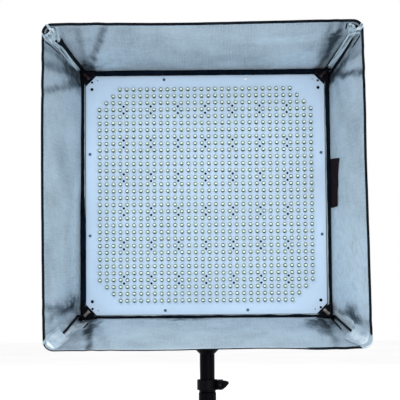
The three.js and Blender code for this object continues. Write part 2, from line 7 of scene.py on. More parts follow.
import bmesh
import bpy
import numpy as np
from mathutils import Matrix, Vector, noise


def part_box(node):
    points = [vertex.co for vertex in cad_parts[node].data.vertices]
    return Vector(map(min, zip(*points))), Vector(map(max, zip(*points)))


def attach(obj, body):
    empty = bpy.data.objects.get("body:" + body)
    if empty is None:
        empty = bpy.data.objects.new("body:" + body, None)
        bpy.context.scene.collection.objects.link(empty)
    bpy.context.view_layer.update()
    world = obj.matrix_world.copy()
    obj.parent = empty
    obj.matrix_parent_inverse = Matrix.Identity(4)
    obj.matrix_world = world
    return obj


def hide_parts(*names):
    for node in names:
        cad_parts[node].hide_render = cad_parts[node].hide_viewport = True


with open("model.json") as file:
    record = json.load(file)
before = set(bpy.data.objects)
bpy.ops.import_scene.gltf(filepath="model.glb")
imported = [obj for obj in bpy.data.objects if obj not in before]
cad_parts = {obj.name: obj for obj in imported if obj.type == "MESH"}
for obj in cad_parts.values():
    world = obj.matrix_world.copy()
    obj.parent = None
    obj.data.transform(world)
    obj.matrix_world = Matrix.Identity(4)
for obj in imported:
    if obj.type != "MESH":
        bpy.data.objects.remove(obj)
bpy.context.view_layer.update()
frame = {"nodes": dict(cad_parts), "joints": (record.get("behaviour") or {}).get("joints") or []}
MM = 0.001


# ---- Places, all from the frame ----

def joint(name):
    return next(j for j in frame["joints"] if j["name"] == name)


PIVOT = Vector(joint("head_tilt")["pos_m"])
BOARD_LOW, BOARD_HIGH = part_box("led_board")
HOUSING_LOW, HOUSING_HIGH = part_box("housing_frame")
SIDE_LOW, SIDE_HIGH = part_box("skirt_right")
LED_LOW, LED_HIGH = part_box("led_array")

BOARD_FRONT = BOARD_LOW.y
BOARD_HALF = BOARD_HIGH.x
HOUSING_HALF = HOUSING_HIGH.x
LIP_FRONT = HOUSING_LOW.y
SKIRT_BACK = SIDE_HIGH.y
SKIRT_FRONT = SIDE_LOW.y
SKIRT_BACK_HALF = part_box("skirt_band")[1].x + 0.6 * MM
SKIRT_HALF_X = SIDE_HIGH.x
SKIRT_HALF_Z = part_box("skirt_top")[1].z - PIVOT.z
# The length of a wall from its inner edge to the open one, in mm. A depth v is a share of it, from 0 to 1.
SLANT = math.hypot(SKIRT_BACK - SKIRT_FRONT, SKIRT_HALF_X - SKIRT_BACK_HALF) / MM
LEAN = math.atan2(SKIRT_HALF_X - SKIRT_BACK_HALF, SKIRT_BACK - SKIRT_FRONT)
LAP = -0.03  # the depth where the cloth starts, over the band
FERRULE_V = 0.058  # the ferrules' depth
ROD_RADIUS = 1.75 * MM
SHARP_DEG = 35  # edges sharper than this stay sharp when a piece is shaded smooth
BACKWARD = Vector((0, 1, 0))


# ---- Mesh helpers ----

def link(mesh_or_curve, name):
    piece = bpy.data.objects.new(name, mesh_or_curve)
    bpy.context.scene.collection.objects.link(piece)
    return piece


def mesh_piece(name, verts, faces, materials=()):
    mesh = bpy.data.meshes.new(name)
    mesh.from_pydata([tuple(v) for v in verts], [], faces)
    mesh.update()
    piece = link(mesh, name)
    for m in materials:
        mesh.materials.append(m)
    mesh.shade_smooth()
    return piece


def shade_with_edges(piece, sharp_deg=SHARP_DEG):
    piece.data.shade_smooth()
    piece.data.set_sharp_from_angle(angle=math.radians(sharp_deg))


def apply_modifiers(piece):
    graph = bpy.context.evaluated_depsgraph_get()
    mesh = bpy.data.meshes.new_from_object(piece.evaluated_get(graph))
    piece.modifiers.clear()
    piece.data = mesh


def round_edges(piece, width_mm, segments, angle):
    bevel = piece.modifiers.new("round", "BEVEL")
    bevel.width = width_mm * MM
    bevel.segments = segments
    bevel.limit_method = "ANGLE"
    bevel.angle_limit = math.radians(angle)
    apply_modifiers(piece)


def soften(piece, thickness_mm=0, rounder=False):
    """Gives a cloth surface its thickness, if it has none yet, and smooths it."""
    if thickness_mm:
        solidify = piece.modifiers.new("thickness", "SOLIDIFY")
        solidify.thickness = thickness_mm * MM
        solidify.offset = 0
    if rounder:
        subdivision = piece.modifiers.new("smooth", "SUBSURF")
        subdivision.levels = subdivision.render_levels = 1
    apply_modifiers(piece)
    piece.data.shade_smooth()


def own(piece, body, slot, *nodes):
    """Puts a piece on its body, and in place of any CAD nodes it stands for; its slot is not used."""
    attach(piece, body)
    if nodes:
        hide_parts(*nodes)


def refined(node, body, slot, look, bevel_mm, segments=2):
    """A CAD node's shape with its flat faces merged and its edges rounded."""
    corner_deg = 30
    mesh = frame["nodes"][node].data.copy()
    piece = link(mesh, node + "_finished")
    bm = bmesh.new()
    bm.from_mesh(mesh)
    bmesh.ops.remove_doubles(bm, verts=bm.verts, dist=1e-6)
    bmesh.ops.dissolve_limit(bm, angle_limit=math.radians(1), verts=bm.verts, edges=bm.edges)
    bm.to_mesh(mesh)
    bm.free()
    mesh.materials.clear()
    mesh.materials.append(look)
    round_edges(piece, bevel_mm, segments, corner_deg)
    shade_with_edges(piece, corner_deg + 8)
    weighted = piece.modifiers.new("flat faces stay flat", "WEIGHTED_NORMAL")
    weighted.keep_sharp = True
    weighted.weight = 100
    apply_modifiers(piece)
    own(piece, body, slot, node)
    return piece


def grid_faces(rows, columns, wrap=False, closed=False):
    """Quads between rows of vertices: wrap joins each row's ends, and closed the last row to the first."""
    faces = []
    for i in range(rows if closed else rows - 1):
        row = i * columns
        following = (i + 1) % rows * columns
        for j in range(columns if wrap else columns - 1):
            k = (j + 1) % columns
            faces.append((row + j, row + k, following + k, following + j))
    return faces


def lathe(profile, origin, axis, sides):
    """Vertices and faces turned from (radius, height) pairs in mm along an axis."""
    axis = Vector(axis).normalized()
    side = axis.orthogonal().normalized()
    other = axis.cross(side)
    verts = []
    for radius, height in profile:
        for k in range(sides):
            a = 2 * math.pi * k / sides
            spoke = math.cos(a) * side + math.sin(a) * other
            verts.append(Vector(origin) + (height * axis + radius * spoke) * MM)
    faces = grid_faces(len(profile), sides, wrap=True)
    if profile[0][0] > 0:
        faces.append(tuple(reversed(range(sides))))
    if profile[-1][0] > 0:
        last = (len(profile) - 1) * sides
        faces.append(tuple(range(last, last + sides)))
    return verts, faces


def lathe_piece(name, profile, origin, axis, look, sides):
    verts, faces = lathe(profile, origin, axis, sides)
    piece = mesh_piece(name, verts, faces, [look])
    clean(piece)
    return piece


def clean(piece, sharp_deg=SHARP_DEG):
    bm = bmesh.new()
    bm.from_mesh(piece.data)
    bmesh.ops.remove_doubles(bm, verts=bm.verts, dist=1e-6)
    bmesh.ops.dissolve_degenerate(bm, edges=bm.edges, dist=1e-7)
    bmesh.ops.recalc_face_normals(bm, faces=bm.faces)
    bm.to_mesh(piece.data)
    bm.free()
    shade_with_edges(piece, sharp_deg)


def merged(name, parts, materials):
    """One piece from (verts, faces, material index) parts."""
    verts, faces, index = [], [], []
    for part_verts, part_faces, material_index in parts:
        base = len(verts)
        verts += [Vector(v) for v in part_verts]
        faces += [tuple(base + i for i in f) for f in part_faces]
        index += [material_index] * len(part_faces)
    piece = mesh_piece(name, verts, faces, materials)
    piece.data.polygons.foreach_set("material_index", index)
    shade_with_edges(piece)
    return piece


def rough_noise(point):
    return noise.fractal(point, 0.9, 2.1, 3)


# ---- Materials ----

class Nodes:
    """A small builder for one procedural material."""

    def __init__(self, name):
        self.material = bpy.data.materials.new(name)
        self.material.use_nodes = True
        self.tree = self.material.node_tree
        self.shader = self.tree.nodes["Principled BSDF"]
        coordinates = self.add("TexCoord")
        self.object = coordinates.outputs["Object"]
        self.uv = coordinates.outputs["UV"]
        self.last_bump = None

    def put(self, socket, value):
        """Gives a socket its value, or the output it takes it from."""
        if isinstance(value, bpy.types.NodeSocket):
            self.tree.links.new(value, socket)
        else:
            socket.default_value = value

    def feed(self, node, **sockets):
        for name, value in sockets.items():
            self.put(node.inputs[name.replace("_", " ")], value)

    def add(self, kind, **sockets):
        node = self.tree.nodes.new("ShaderNode" + kind)
        self.feed(node, **sockets)
        return node

    def attribute(self, name):
        node = self.add("Attribute")
        node.attribute_name = name
        return node.outputs["Fac"]

    def scaled(self, vector, scale):
        return self.add("Mapping", Vector=vector, Scale=scale).outputs["Vector"]

    def noise(self, vector, scale, detail, rough=0.5):
        return self.add("TexNoise", Vector=vector, Scale=scale, Detail=detail, Roughness=rough).outputs["Fac"]

    def waves(self, vector, scale, direction, distortion):
        node = self.add("TexWave", Vector=vector, Scale=scale, Distortion=distortion)
        node.wave_type = "BANDS"
        node.bands_direction = direction
        return node.outputs["Fac"]

    def math(self, operation, a, b):
        node = self.add("Math")
        node.operation = operation
        for socket, value in zip(node.inputs, (a, b)):
            self.put(socket, value)
        return node.outputs["Value"]

    def ramp(self, factor, stops):
        node = self.add("ValToRGB", Fac=factor)
        elements = node.color_ramp.elements
        while len(elements) < len(stops):
            elements.new(0.5)
        for element, (place, color) in zip(elements, stops):
            element.position = place
            element.color = (*color, 1)
        return node.outputs["Color"]

    def color(self, source):
        self.set(Base_Color=source)

    def tint(self, factor, color, low, high, start=0.3, end=0.7):
        """Colours the surface from a darker to a lighter shade of one colour."""
        self.color(self.ramp(factor, [(start, shade(color, low)), (end, shade(color, high))]))

    def rough(self, factor, low, high):
        self.set(Roughness=self.add("MapRange", Value=factor, To_Min=low, To_Max=high).outputs["Result"])

    def bump(self, height, strength, distance_mm):
        """Adds relief over any that is already there."""
        node = self.add("Bump", Height=height, Strength=strength, Distance=distance_mm * MM)
        if self.last_bump is not None:
            self.feed(node, Normal=self.last_bump)
        self.last_bump = node.outputs["Normal"]
        self.set(Normal=self.last_bump)

    def set(self, **values):
        self.feed(self.shader, **values)


def shade(color, factor):
    return tuple(min(1, c * factor) for c in color)


def coated(name, color, rough, grain_mm, grain, metallic=0.0, gloss=0.22):
    """Powder coat, paint or moulded plastic: a fine grain, faint handling marks and uneven gloss."""
    n = Nodes(name)
    n.set(Metallic=metallic, Specular_IOR_Level=gloss)
    n.tint(n.noise(n.object, 18, 4), color, 0.82, 1.2)
    n.rough(n.noise(n.object, 60, 5, 0.6), *rough)
    n.bump(n.noise(n.object, 1 / (grain_mm * MM), 2), grain, 0.12)
    return n.material


def brushed(name, color, along=(1, 1, 12), rough=(0.22, 0.4)):
    """Bare or plated metal with fine streaks; along squeezes them, and they run across its largest number."""
    n = Nodes(name)
    n.set(Metallic=1.0)
    streaks = n.noise(n.scaled(n.object, along), 260, 3)
    n.tint(streaks, color, 0.8, 1.12, 0.25, 0.75)
    n.rough(streaks, *rough)
    n.bump(streaks, 0.15, 0.05)
    return n.material


def weave(n, thread_mm, depth_mm, strength):
    """Crossed threads over UVs in metres; the wave texture makes about 3.2 bands per unit of scale x 2."""
    scale = 1 / (thread_mm * MM) / 3.1416 / 2
    warp = n.waves(n.uv, scale, "X", 0.4)
    weft = n.waves(n.uv, scale, "Y", 0.4)
    cross = n.math("MULTIPLY", warp, weft)
    n.bump(cross, strength, depth_mm)
    return cross


def silver_cloth(name):
    """Coated lining cloth: fine upright threads, an uneven coat, and painted shade in the creases and
    corners, with paler painted highlights in places.
    """
    n = Nodes(name)
    n.set(Metallic=0.5)
    mottle = n.noise(n.uv, 14, 6, 0.6)
    upright = n.noise(n.scaled(n.uv, (480, 22, 1)), 1.0, 2, 0.55)
    threads = weave(n, 1.1, 0.12, 0.35)
    n.bump(n.noise(n.uv, 120, 5, 0.6), 0.35, 0.6)
    tone = n.math("ADD", n.math("MULTIPLY", mottle, 0.42), n.math("MULTIPLY", upright, 0.12))
    tone = n.math("ADD", tone, n.math("MULTIPLY", n.noise(n.uv, 300, 2), 0.20))
    tone = n.math("ADD", tone, n.math("MULTIPLY", threads, 0.10))
    # The attribute subtracted here is painted shade: it darkens the lining towards the ramp's darkest stops
    # in creases, corners and beside seams, and where it is below 0 it pales the lining as a painted
    # highlight.
    tone = n.math("SUBTRACT", tone, n.attribute("painted_shade_and_light"))
    n.color(n.ramp(tone, [(0.0, (0.04, 0.06, 0.08)), (0.2, (0.21, 0.27, 0.33)), (0.42, (0.57, 0.68, 0.77)),
                          (0.62, (0.68, 0.82, 0.93)), (1.0, (0.9, 0.96, 1.0))]))
    n.rough(n.noise(n.uv, 300, 3), 0.38, 0.58)
    return n.material


def foil_cloth(name, streak_scale, dark):
    """Crinkled coated cloth: its colour runs in streaks from near-black painted shade to white painted
    highlights.
    """
    n = Nodes(name)
    n.set(Metallic=0.5)
    streak = n.noise(n.scaled(n.uv, streak_scale), 1.0, 3, 0.55)
    # The darkest stop is painted shade in the crinkles, and the near-white stop is a painted highlight.
    n.color(n.ramp(streak, [(0.34, dark), (0.43, (0.40, 0.50, 0.58)), (0.56, (0.62, 0.74, 0.82)),
                            (0.64, (0.98, 1.0, 1.0))]))
    n.bump(streak, 0.8, 0.8)
    n.rough(n.noise(n.uv, 300, 3), 0.3, 0.5)
    return n.material


def soft_foil(name):
    """The paler, smoother coat of the lower pockets, with painted shade at its edges."""
    n = Nodes(name)
    n.set(Metallic=0.4)
    streak = n.noise(n.scaled(n.uv, (120, 26, 1)), 1.0, 3, 0.55)
    # The edge attribute is painted shade: it darkens the strip at its sides, its inner end and where it hangs
    # outside the skirt.
    tone = n.math("SUBTRACT", streak, n.math("MULTIPLY", n.attribute("edge"), 0.20))
    n.color(n.ramp(tone, [(0.22, (0.44, 0.54, 0.62)), (0.38, (0.60, 0.72, 0.82)), (0.54, (0.76, 0.87, 0.96)),
                          (0.66, (0.90, 0.95, 0.99))]))
    n.bump(streak, 0.7, 0.7)
    n.rough(n.noise(n.uv, 300, 3), 0.35, 0.55)
    return n.material


def black_cloth(name, color, thread_mm=0.8, rough=(0.65, 0.85)):
    n = Nodes(name)
    n.set(Specular_IOR_Level=0.06)
    n.tint(n.noise(n.uv, 30, 4), color, 0.7, 1.5)
    weave(n, thread_mm, 0.18, 0.5)
    n.bump(n.noise(n.uv, 90, 4), 0.3, 0.5)
    n.rough(n.noise(n.uv, 200, 3), *rough)
    return n.material


def elastic(name):
    """Ribbed knit elastic, its ribs across the band."""
    n = Nodes(name)
    n.set(Specular_IOR_Level=0.025)
    n.tint(n.noise(n.uv, 60, 4), (0.0012, 0.0035, 0.0078), 0.6, 1.8)
    ribs = n.waves(n.uv, 1 / (1.4 * MM) / 6.28, "X", 0.6)
    n.bump(ribs, 0.6, 0.35)
    n.rough(n.noise(n.uv, 200, 3), 0.7, 0.9)
    return n.material


def board_white():
    n = Nodes("board_solder_mask")
    n.set(Coat_Weight=0.25, Coat_Roughness=0.25)
    # The white board's blue tint is a painted reflection of sky-blue light.
    n.tint(n.noise(n.object, 12, 4), (0.465, 0.62, 0.80), 0.96, 1.05, 0.35)
    n.rough(n.noise(n.object, 220, 4), 0.32, 0.48)
    n.bump(n.noise(n.object, 600, 2), 0.08, 0.05)
    return n.material


def glazed(name, low, high, scale, rough, grain=(500, 2), **sockets):
    """Clear epoxy, phosphor or glass: a slight drift of colour and of gloss."""
    n = Nodes(name)
    n.set(**sockets)
    n.color(n.ramp(n.noise(n.object, scale, 2), [(0.3, low), (0.7, high)]))
    n.rough(n.noise(n.object, *grain), *rough)
    return n.material


PAINT = coated("black_powder_coat", (0.010, 0.0105, 0.013), (0.38, 0.55), 0.45, 0.35)
STEM_PAINT = coated("stem_paint", (0.0018, 0.0018, 0.0035), (0.22, 0.4), 0.9, 0.12, gloss=0.035)
PLASTIC = coated("moulded_plastic", (0.008, 0.008, 0.010), (0.42, 0.6), 0.35, 0.3)
CORNER_PLASTIC = coated("corner_plastic", (0.0018, 0.0028, 0.005), (0.5, 0.7), 0.5, 0.2, gloss=0.035)
COLLAR_PLASTIC = coated("collar_plastic", (0.003, 0.003, 0.005), (0.25, 0.42), 0.6, 0.2, gloss=0.05)
KNOB = coated("knob_plastic", (0.007, 0.007, 0.009), (0.35, 0.5), 0.4, 0.25)
RUBBER = coated("rubber", (0.022, 0.023, 0.026), (0.7, 0.9), 0.3, 0.3)
LIP = coated("lip_grey_paint", (0.30, 0.37, 0.40), (0.4, 0.55), 0.5, 0.2)
STEEL = brushed("zinc_steel", (0.62, 0.63, 0.65))
DARK_STEEL = brushed("black_oxide_steel", (0.018, 0.018, 0.021), (1, 1, 8), (0.4, 0.55))
NICKEL = brushed("nickel", (0.5, 0.5, 0.52), (1, 8, 1))
ALUMINIUM = brushed("aluminium", (0.68, 0.69, 0.71), (1, 1, 6), (0.35, 0.5))
SCREW = brushed("screw_steel", (0.06, 0.11, 0.16), (1, 1, 1), (0.3, 0.45))
BLACK_SCREW = coated("black_screw", (0.010, 0.010, 0.012), (0.25, 0.4), 0.4, 0.15, metallic=0.6, gloss=0.4)
GOLD = brushed("contact_gold", (0.75, 0.55, 0.25), (1, 1, 6), (0.25, 0.4))
# A painted highlight: one board screw's head is painted white.
SCREW_HIGHLIGHT = coated("screw_painted_highlight", (0.93, 0.95, 0.98), (0.4, 0.55), 0.3, 0.15)
MARK = coated("white_mark", (0.55, 0.56, 0.57), (0.4, 0.55), 0.3, 0.15)
BRASS = brushed("ferrule_brass", (0.36, 0.29, 0.24), (1, 6, 1), (0.35, 0.5))
# The same brass darkened: painted shade for the upper ferrules under the top of the skirt.
SHADED_BRASS = brushed("ferrule_brass_painted_shade", (0.075, 0.045, 0.045), (1, 6, 1), (0.45, 0.6))
ROD = coated("rod_fibre", (0.003, 0.005, 0.010), (0.4, 0.55), 0.8, 0.15, gloss=0.04)
GREEN = coated("circuit_green", (0.02, 0.11, 0.05), (0.3, 0.45), 0.8, 0.15)
# Near-black for the small dark dots, and painted shade for the corner holes, which are drawn as flat discs.
DARK_DOTS_AND_HOLE_SHADE = coated("dark_dots_and_painted_hole_shade", (0.002, 0.004, 0.009), (0.5, 0.7), 0.8, 0.1, gloss=0.05)
SILVER = silver_cloth("silver_lining")
# The near-black given here is painted shade for the foil's crinkles.
FOIL = foil_cloth("silver_pocket", (300, 24, 1), (0.012, 0.018, 0.03))
SOFT_FOIL = soft_foil("silver_pocket_soft")
BLACK = black_cloth("black_shell", (0.006, 0.0075, 0.010))
HEM = black_cloth("hem_tape", (0.0035, 0.006, 0.010), 0.5)
TAB = black_cloth("closure_cloth", (0.0085, 0.0035, 0.0065), 0.5, (0.8, 0.95))
ELASTIC = elastic("band_elastic")
WHITE = board_white()
CLEAR = (0.84, 0.93, 0.88)
EPOXY = glazed("led_epoxy", shade(CLEAR, 0.92), shade(CLEAR, 1.06), 70, (0.05, 0.14),
               Coat_Weight=0.6, Coat_Roughness=0.05, IOR=1.54)
# The rim's darker grey-green is a phosphor tint with painted shade for the dome's darker edge.
PHOSPHOR_AND_SHADE = glazed("led_phosphor_and_painted_shade", (0.30, 0.42, 0.38), (0.38, 0.50, 0.30), 45, (0.15, 0.3),
                  Specular_IOR_Level=0.3)
# The lead frame's two dark posts, seen through the lens's rim, with painted shade: the rim darkest above and
# below the die.
LEAD_FRAME_AND_SHADE = glazed("led_lead_frame_and_painted_shade", (0.05, 0.08, 0.10), (0.09, 0.14, 0.09), 45, (0.2, 0.35),
               Specular_IOR_Level=0.1)
GLASS = glazed("display_glass", (0.006, 0.009, 0.010), (0.010, 0.014, 0.014), 20, (0.08, 0.16), (300, 3),
               Specular_IOR_Level=0.25)


# ---- Camera, light and floor ----

def set_camera():
    """The photo's view, from about 2 m in front and a little below the middle."""
    data = bpy.data.cameras.new("camera")
    data.sensor_width = 36
    data.lens = 126
    camera = link(data, "camera")
    board_centre = Vector((0, BOARD_FRONT, PIVOT.z))
    eye = board_centre + Vector((16.0, -2044.6, -159.1)) * MM
    aim = board_centre + Vector((-8.4, 0, -8.6)) * MM
    look = (aim - eye).to_track_quat("-Z", "Y").to_matrix().to_4x4()
    camera.matrix_world = Matrix.Translation(eye) @ look @ Matrix.Rotation(math.radians(-0.43), 4, "Z")
    bpy.context.scene.camera = camera


def set_light():
    world = bpy.data.worlds.new("studio")
    bpy.context.scene.world = world
    world.use_nodes = True
    background = world.node_tree.nodes["Background"]
    background.inputs["Color"].default_value = (1, 1, 1, 1)
    background.inputs["Strength"].default_value = 1.0
    bpy.context.scene.view_settings.view_transform = "Standard"

    def panel(name, place, target, size, power):
        data = bpy.data.lights.new(name, "AREA")
        data.size = size
        data.energy = power
        lamp = link(data, name)
        lamp.location = place
        lamp.rotation_euler = (Vector(target) - Vector(place)).to_track_quat("-Z", "Y").to_euler()

    panel("key", (-0.7, -2.2, 1.8), PIVOT, 1.4, 20)
    panel("fill", (0.7, -1.9, 0.15), PIVOT, 1.0, 9)
    panel("back", (0.6, 2.0, 1.6), PIVOT, 1.6, 14)


def add_floor():
    half = 6
    floor = mesh_piece("floor", [(-half, -half, 0), (half, -half, 0), (half, half, 0), (-half, half, 0)],
                       [(0, 1, 2, 3)])
    n = Nodes("floor_white")
    n.color(n.ramp(n.noise(n.object, 3, 3), [(0.3, (0.93, 0.93, 0.93)), (0.7, (0.97, 0.97, 0.97))]))
    n.set(Roughness=0.8)
    floor.data.materials.append(n.material)
    floor.location.z = -0.5 * MM


# ---- The LED board ----

LED_PITCH = 10 * MM
LED_COUNT = 32  # in a row, and in a column
LED_MIDDLE = (LED_COUNT - 1) / 2
CORNER_STEPS = 3  # left out of each corner: this many LEDs, then one fewer in each row further in


def led_places():
    last = LED_COUNT - 1
    for i in range(LED_COUNT):
        for j in range(LED_COUNT):
            if min(i, last - i) + min(j, last - j) >= CORNER_STEPS:
                yield (i - LED_MIDDLE) * LED_PITCH, (j - LED_MIDDLE) * LED_PITCH


def add_leds():
    """Each LED is a flanged, domed epoxy body over a white die; its rim is painted a darker grey-green,
    painted shade for the dome's darker edge, and darkest above and below the die, where the two lead posts
    show."""
    height = (LED_HIGH.y - LED_LOW.y) / MM
    dome = 2.45
    profile = [(3.0, 0.0), (3.0, 0.9), (dome, 1.0), (dome, height - 2.4)]
    profile += [(dome * math.cos(a), height - 2.4 + 2.4 * math.sin(a)) for a in (0.35, 0.7, 0.92, 1.3)]
    profile.append((0.0, height))
    sides = 16
    unit, unit_faces = lathe(profile, (0, 0, 0), (0, -1, 0), sides)
    unit = np.array([tuple(v) for v in unit])
    rim_faces = 6 * sides

    def face_material(number):
        if number >= rim_faces:
            return 0
        middle = unit[list(unit_faces[number])].mean(axis=0)
        # The rim's top and bottom sectors take the lead-frame colour: the posts, and painted shade.
        steep = abs(middle[2]) > 0.62 * math.hypot(middle[0], middle[2])
        return 2 if steep else 1

    materials = [face_material(number) for number in range(len(unit_faces))]
    verts, faces, index = [], [], []
    rng = random.Random(4)
    for x, z in led_places():
        base = len(verts)
        lean = np.array([rng.uniform(-0.06, 0.06), 0, rng.uniform(-0.06, 0.06)])
        moved = unit + np.outer(-unit[:, 1], lean) + np.array([x, LED_HIGH.y, PIVOT.z + z])
        verts.extend(map(tuple, moved))
        faces.extend(tuple(base + k for k in f) for f in unit_faces)
        index.extend(materials)
    piece = mesh_piece("leds", verts, faces, [EPOXY, PHOSPHOR_AND_SHADE, LEAD_FRAME_AND_SHADE])
    piece.data.polygons.foreach_set("material_index", index)
    own(piece, "head", "led_lens", "led_array")


def disc(x, z, y, radius, depth, sides):
    """A short round boss standing out of the board's face, with a rounded rim."""
    profile = [(radius, 0), (radius, depth * 0.6), (radius * 0.85, depth), (0, depth)]
    return lathe(profile, (x, y, z), (0, -1, 0), sides)


def add_board_details():
    """The small dark parts between the LEDs, the holes at the corners drawn as dark discs in painted shade,
    and the board's screws.
    """
    centre = PIVOT.z
    parts = []
    for k in range(7):
        for m in range(6):
            for row in (2.5 + 5 * m, 3.5 + 5 * m):
                x = (3.5 + 4 * k - LED_MIDDLE) * LED_PITCH
                z = (LED_MIDDLE - row) * LED_PITCH
                parts.append((*disc(x, centre + z, BOARD_FRONT, 1.7, 0.8, 12), 0))
    for x_side in (-1, 1):
        for z_side in (-1, 1):
            # The corner holes are flat discs, dark with painted shade.
            for in_x, in_z, radius in ((9.0, 19.5, 2.3), (9.3, 8.9, 1.75), (17.5, 6.5, 0.8)):
                x, z = BOARD_HALF - in_x * MM, BOARD_HALF - in_z * MM
                parts.append((*disc(x_side * x, centre + z_side * z, BOARD_FRONT, radius, 0.12, 20), 0))
    own(merged("board_dots", parts, [DARK_DOTS_AND_HOLE_SHADE]), "head", "circuit_green")

    parts = []
    profile = [(2.1, 0), (2.1, 0.5), (1.7, 1.1), (1.0, 1.2), (0.8, 0.5), (0, 0.5)]
    edge = BOARD_HALF - 6 * MM
    for along in (-60 * MM, 60 * MM):
        for x, z in ((along, edge), (along, -edge), (edge, along), (-edge, along)):
            # This one screw is painted white: a painted highlight on its head.
            white = along > 0 and z == edge
            parts.append((*lathe(profile, (x, BOARD_FRONT, centre + z), (0, -1, 0), 20), int(white)))
    own(merged("board_screws", parts, [SCREW, SCREW_HIGHLIGHT]), "head", "steel")


# A domed screw head with a round socket: radius and height, as shares of the head's radius.
SCREW_HEAD = [(1, 0), (1, 0.35), (0.8, 0.62), (0.48, 0.72), (0.44, 0.25), (0, 0.2)]


def screws(name, places, y, radius):
    """Screws in a face that looks back along +Y, at (x, height above the pivot)."""
    dome = [(radius * r, radius * h) for r, h in SCREW_HEAD]
    parts = [(*lathe(dome, (x, y, PIVOT.z + z), BACKWARD, 24), 0) for x, z in places]
    own(merged(name, parts, [BLACK_SCREW]), "head", "steel")


def plate_screws(name, node, inset_mm, radius):
    """Screws at a plate's four corners."""
    low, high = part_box(node)
    inset = inset_mm * MM
    ends = (low.x + inset, high.x - inset)
    places = [(x, z - PIVOT.z) for x in ends for z in (low.z + inset, high.z - inset)]
    screws(name, places, high.y, radius)


def inlet_screws(name, node, spread, radius):
    """Screws round a socket's middle, at (x, z) in mm."""
    low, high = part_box(node)
    middle = (low + high) / 2
    screws(name, [(middle.x + x * MM, middle.z + z * MM - PIVOT.z) for x, z in spread], high.y, radius)


def block(x0, x1, y0, y1, z0, z1, bevel_mm):
    """A small rounded bar, as vertices and faces, from metre coordinates."""
    bm = bmesh.new()
    bmesh.ops.create_cube(bm, size=1)
    bmesh.ops.scale(bm, verts=bm.verts, vec=(x1 - x0, y1 - y0, z1 - z0))
    bmesh.ops.translate(bm, verts=bm.verts, vec=((x0 + x1) / 2, (y0 + y1) / 2, (z0 + z1) / 2))
    bmesh.ops.bevel(bm, geom=bm.edges[:], offset=bevel_mm * MM, segments=2, affect="EDGES")
    verts = [v.co.copy() for v in bm.verts]
    faces = [tuple(v.index for v in f.verts) for f in bm.faces]
    bm.free()
    return verts, faces


def add_rear_details():
    edge = HOUSING_HALF - 9 * MM
    places = [(side * edge, z * MM) for side in (-1, 1) for z in (-165, -60, 60, 165)]
    places += [(x * MM, side * edge) for side in (-1, 1) for x in (-60, 60)]
    screws("cover_screws", places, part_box("rear_cover")[1].y, 2.9)
    plate_screws("panel_screws", "control_panel", 6, 2.0)
    add_dimmer_marks()
    plate_screws("battery_plate_screws", "battery_plate", 8, 2.4)
    add_battery_contacts()
    inlet_screws("inlet_screws", "power_inlet", ((-20, 0), (20, 0)), 1.9)
    corners = [(x, z) for x in (-10, 10) for z in (-12.5, 12.5)]
    inlet_screws("dc_inlet_screws", "dc_inlet", corners, 1.4)
    add_dimmer_pointer()


def add_dimmer_marks():
    """Eleven marks over the dimmer's turn of 140 degrees each way."""
    low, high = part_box("dimmer_knob")
    middle = (low + high) / 2
    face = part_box("control_panel")[1].y
    parts = []
    for k in range(11):
        turn = math.radians(-140 + 28 * k)
        spoke = Vector((math.sin(turn), 0, math.cos(turn)))
        start = Vector((middle.x, face - 0.1 * MM, middle.z)) + spoke * 15.2 * MM
        parts.append((*lathe([(0, 0), (0.45, 0.1), (0.45, 1.9), (0, 2.0)], start, spoke, 8), 0))
    own(merged("dimmer_marks", parts, [MARK]), "head", "white_board")


def add_dimmer_pointer():
    low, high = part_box("dimmer_knob")
    middle = (low + high) / 2
    bar = block(middle.x - 0.5 * MM, middle.x + 0.5 * MM, high.y - 0.6 * MM, high.y - 0.05 * MM,
                middle.z + 4 * MM, middle.z + 11.5 * MM, 0.15)
    own(merged("dimmer_pointer", [(*bar, 0)], [MARK]), "dimmer_knob", "white_board")


def add_battery_contacts():
    """Three gold contacts in the battery plate's recess."""
    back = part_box("battery_plate")[1].y
    parts = []
    for x in (-7 * MM, 0, 7 * MM):
        bar = block(x - 1.3 * MM, x + 1.3 * MM, back - 7.1 * MM, back - 5.2 * MM,
                    PIVOT.z + 66 * MM, PIVOT.z + 86 * MM, 0.2)
        parts.append((*bar, 0))
    own(merged("battery_contacts", parts, [GOLD]), "head", "dc_metal")


def dress_cad(node, look):
    """Gives a carried-over CAD node its material."""
    mesh = frame["nodes"][node].data
    mesh.materials.clear()
    mesh.materials.append(look)


# ---- The skirt's cloth ----

SIDES = [  # outward direction, direction along the wall
    (Vector((1, 0, 0)), Vector((0, 0, 1))),
    (Vector((0, 0, 1)), Vector((-1, 0, 0))),
    (Vector((-1, 0, 0)), Vector((0, 0, -1))),
    (Vector((0, 0, -1)), Vector((1, 0, 0))),
]
CORNERS = ["top_right", "top_left", "bottom_left", "bottom_right"]  # each side's far end


def halves(v):
    """The skirt's half sizes at a depth. Below 0 the cloth laps over the band."""
    if v < 0:
        return SKIRT_BACK_HALF - 0.25 * MM, SKIRT_BACK_HALF - 0.25 * MM
    x = SKIRT_BACK_HALF + (SKIRT_HALF_X - SKIRT_BACK_HALF) * v
    z = SKIRT_BACK_HALF + (SKIRT_HALF_Z - SKIRT_BACK_HALF) * v
    return x, z


def corner_radius(v):
    return (5 + 7 * max(0, v)) * MM


def wall_halves(side, v):
    """How far a wall stands from the axis, and half its length, at a depth."""
    half_x, half_z = halves(v)
    return (half_x, half_z) if side % 2 == 0 else (half_z, half_x)


def y_at(v):
    return SKIRT_BACK + (SKIRT_FRONT - SKIRT_BACK) * v


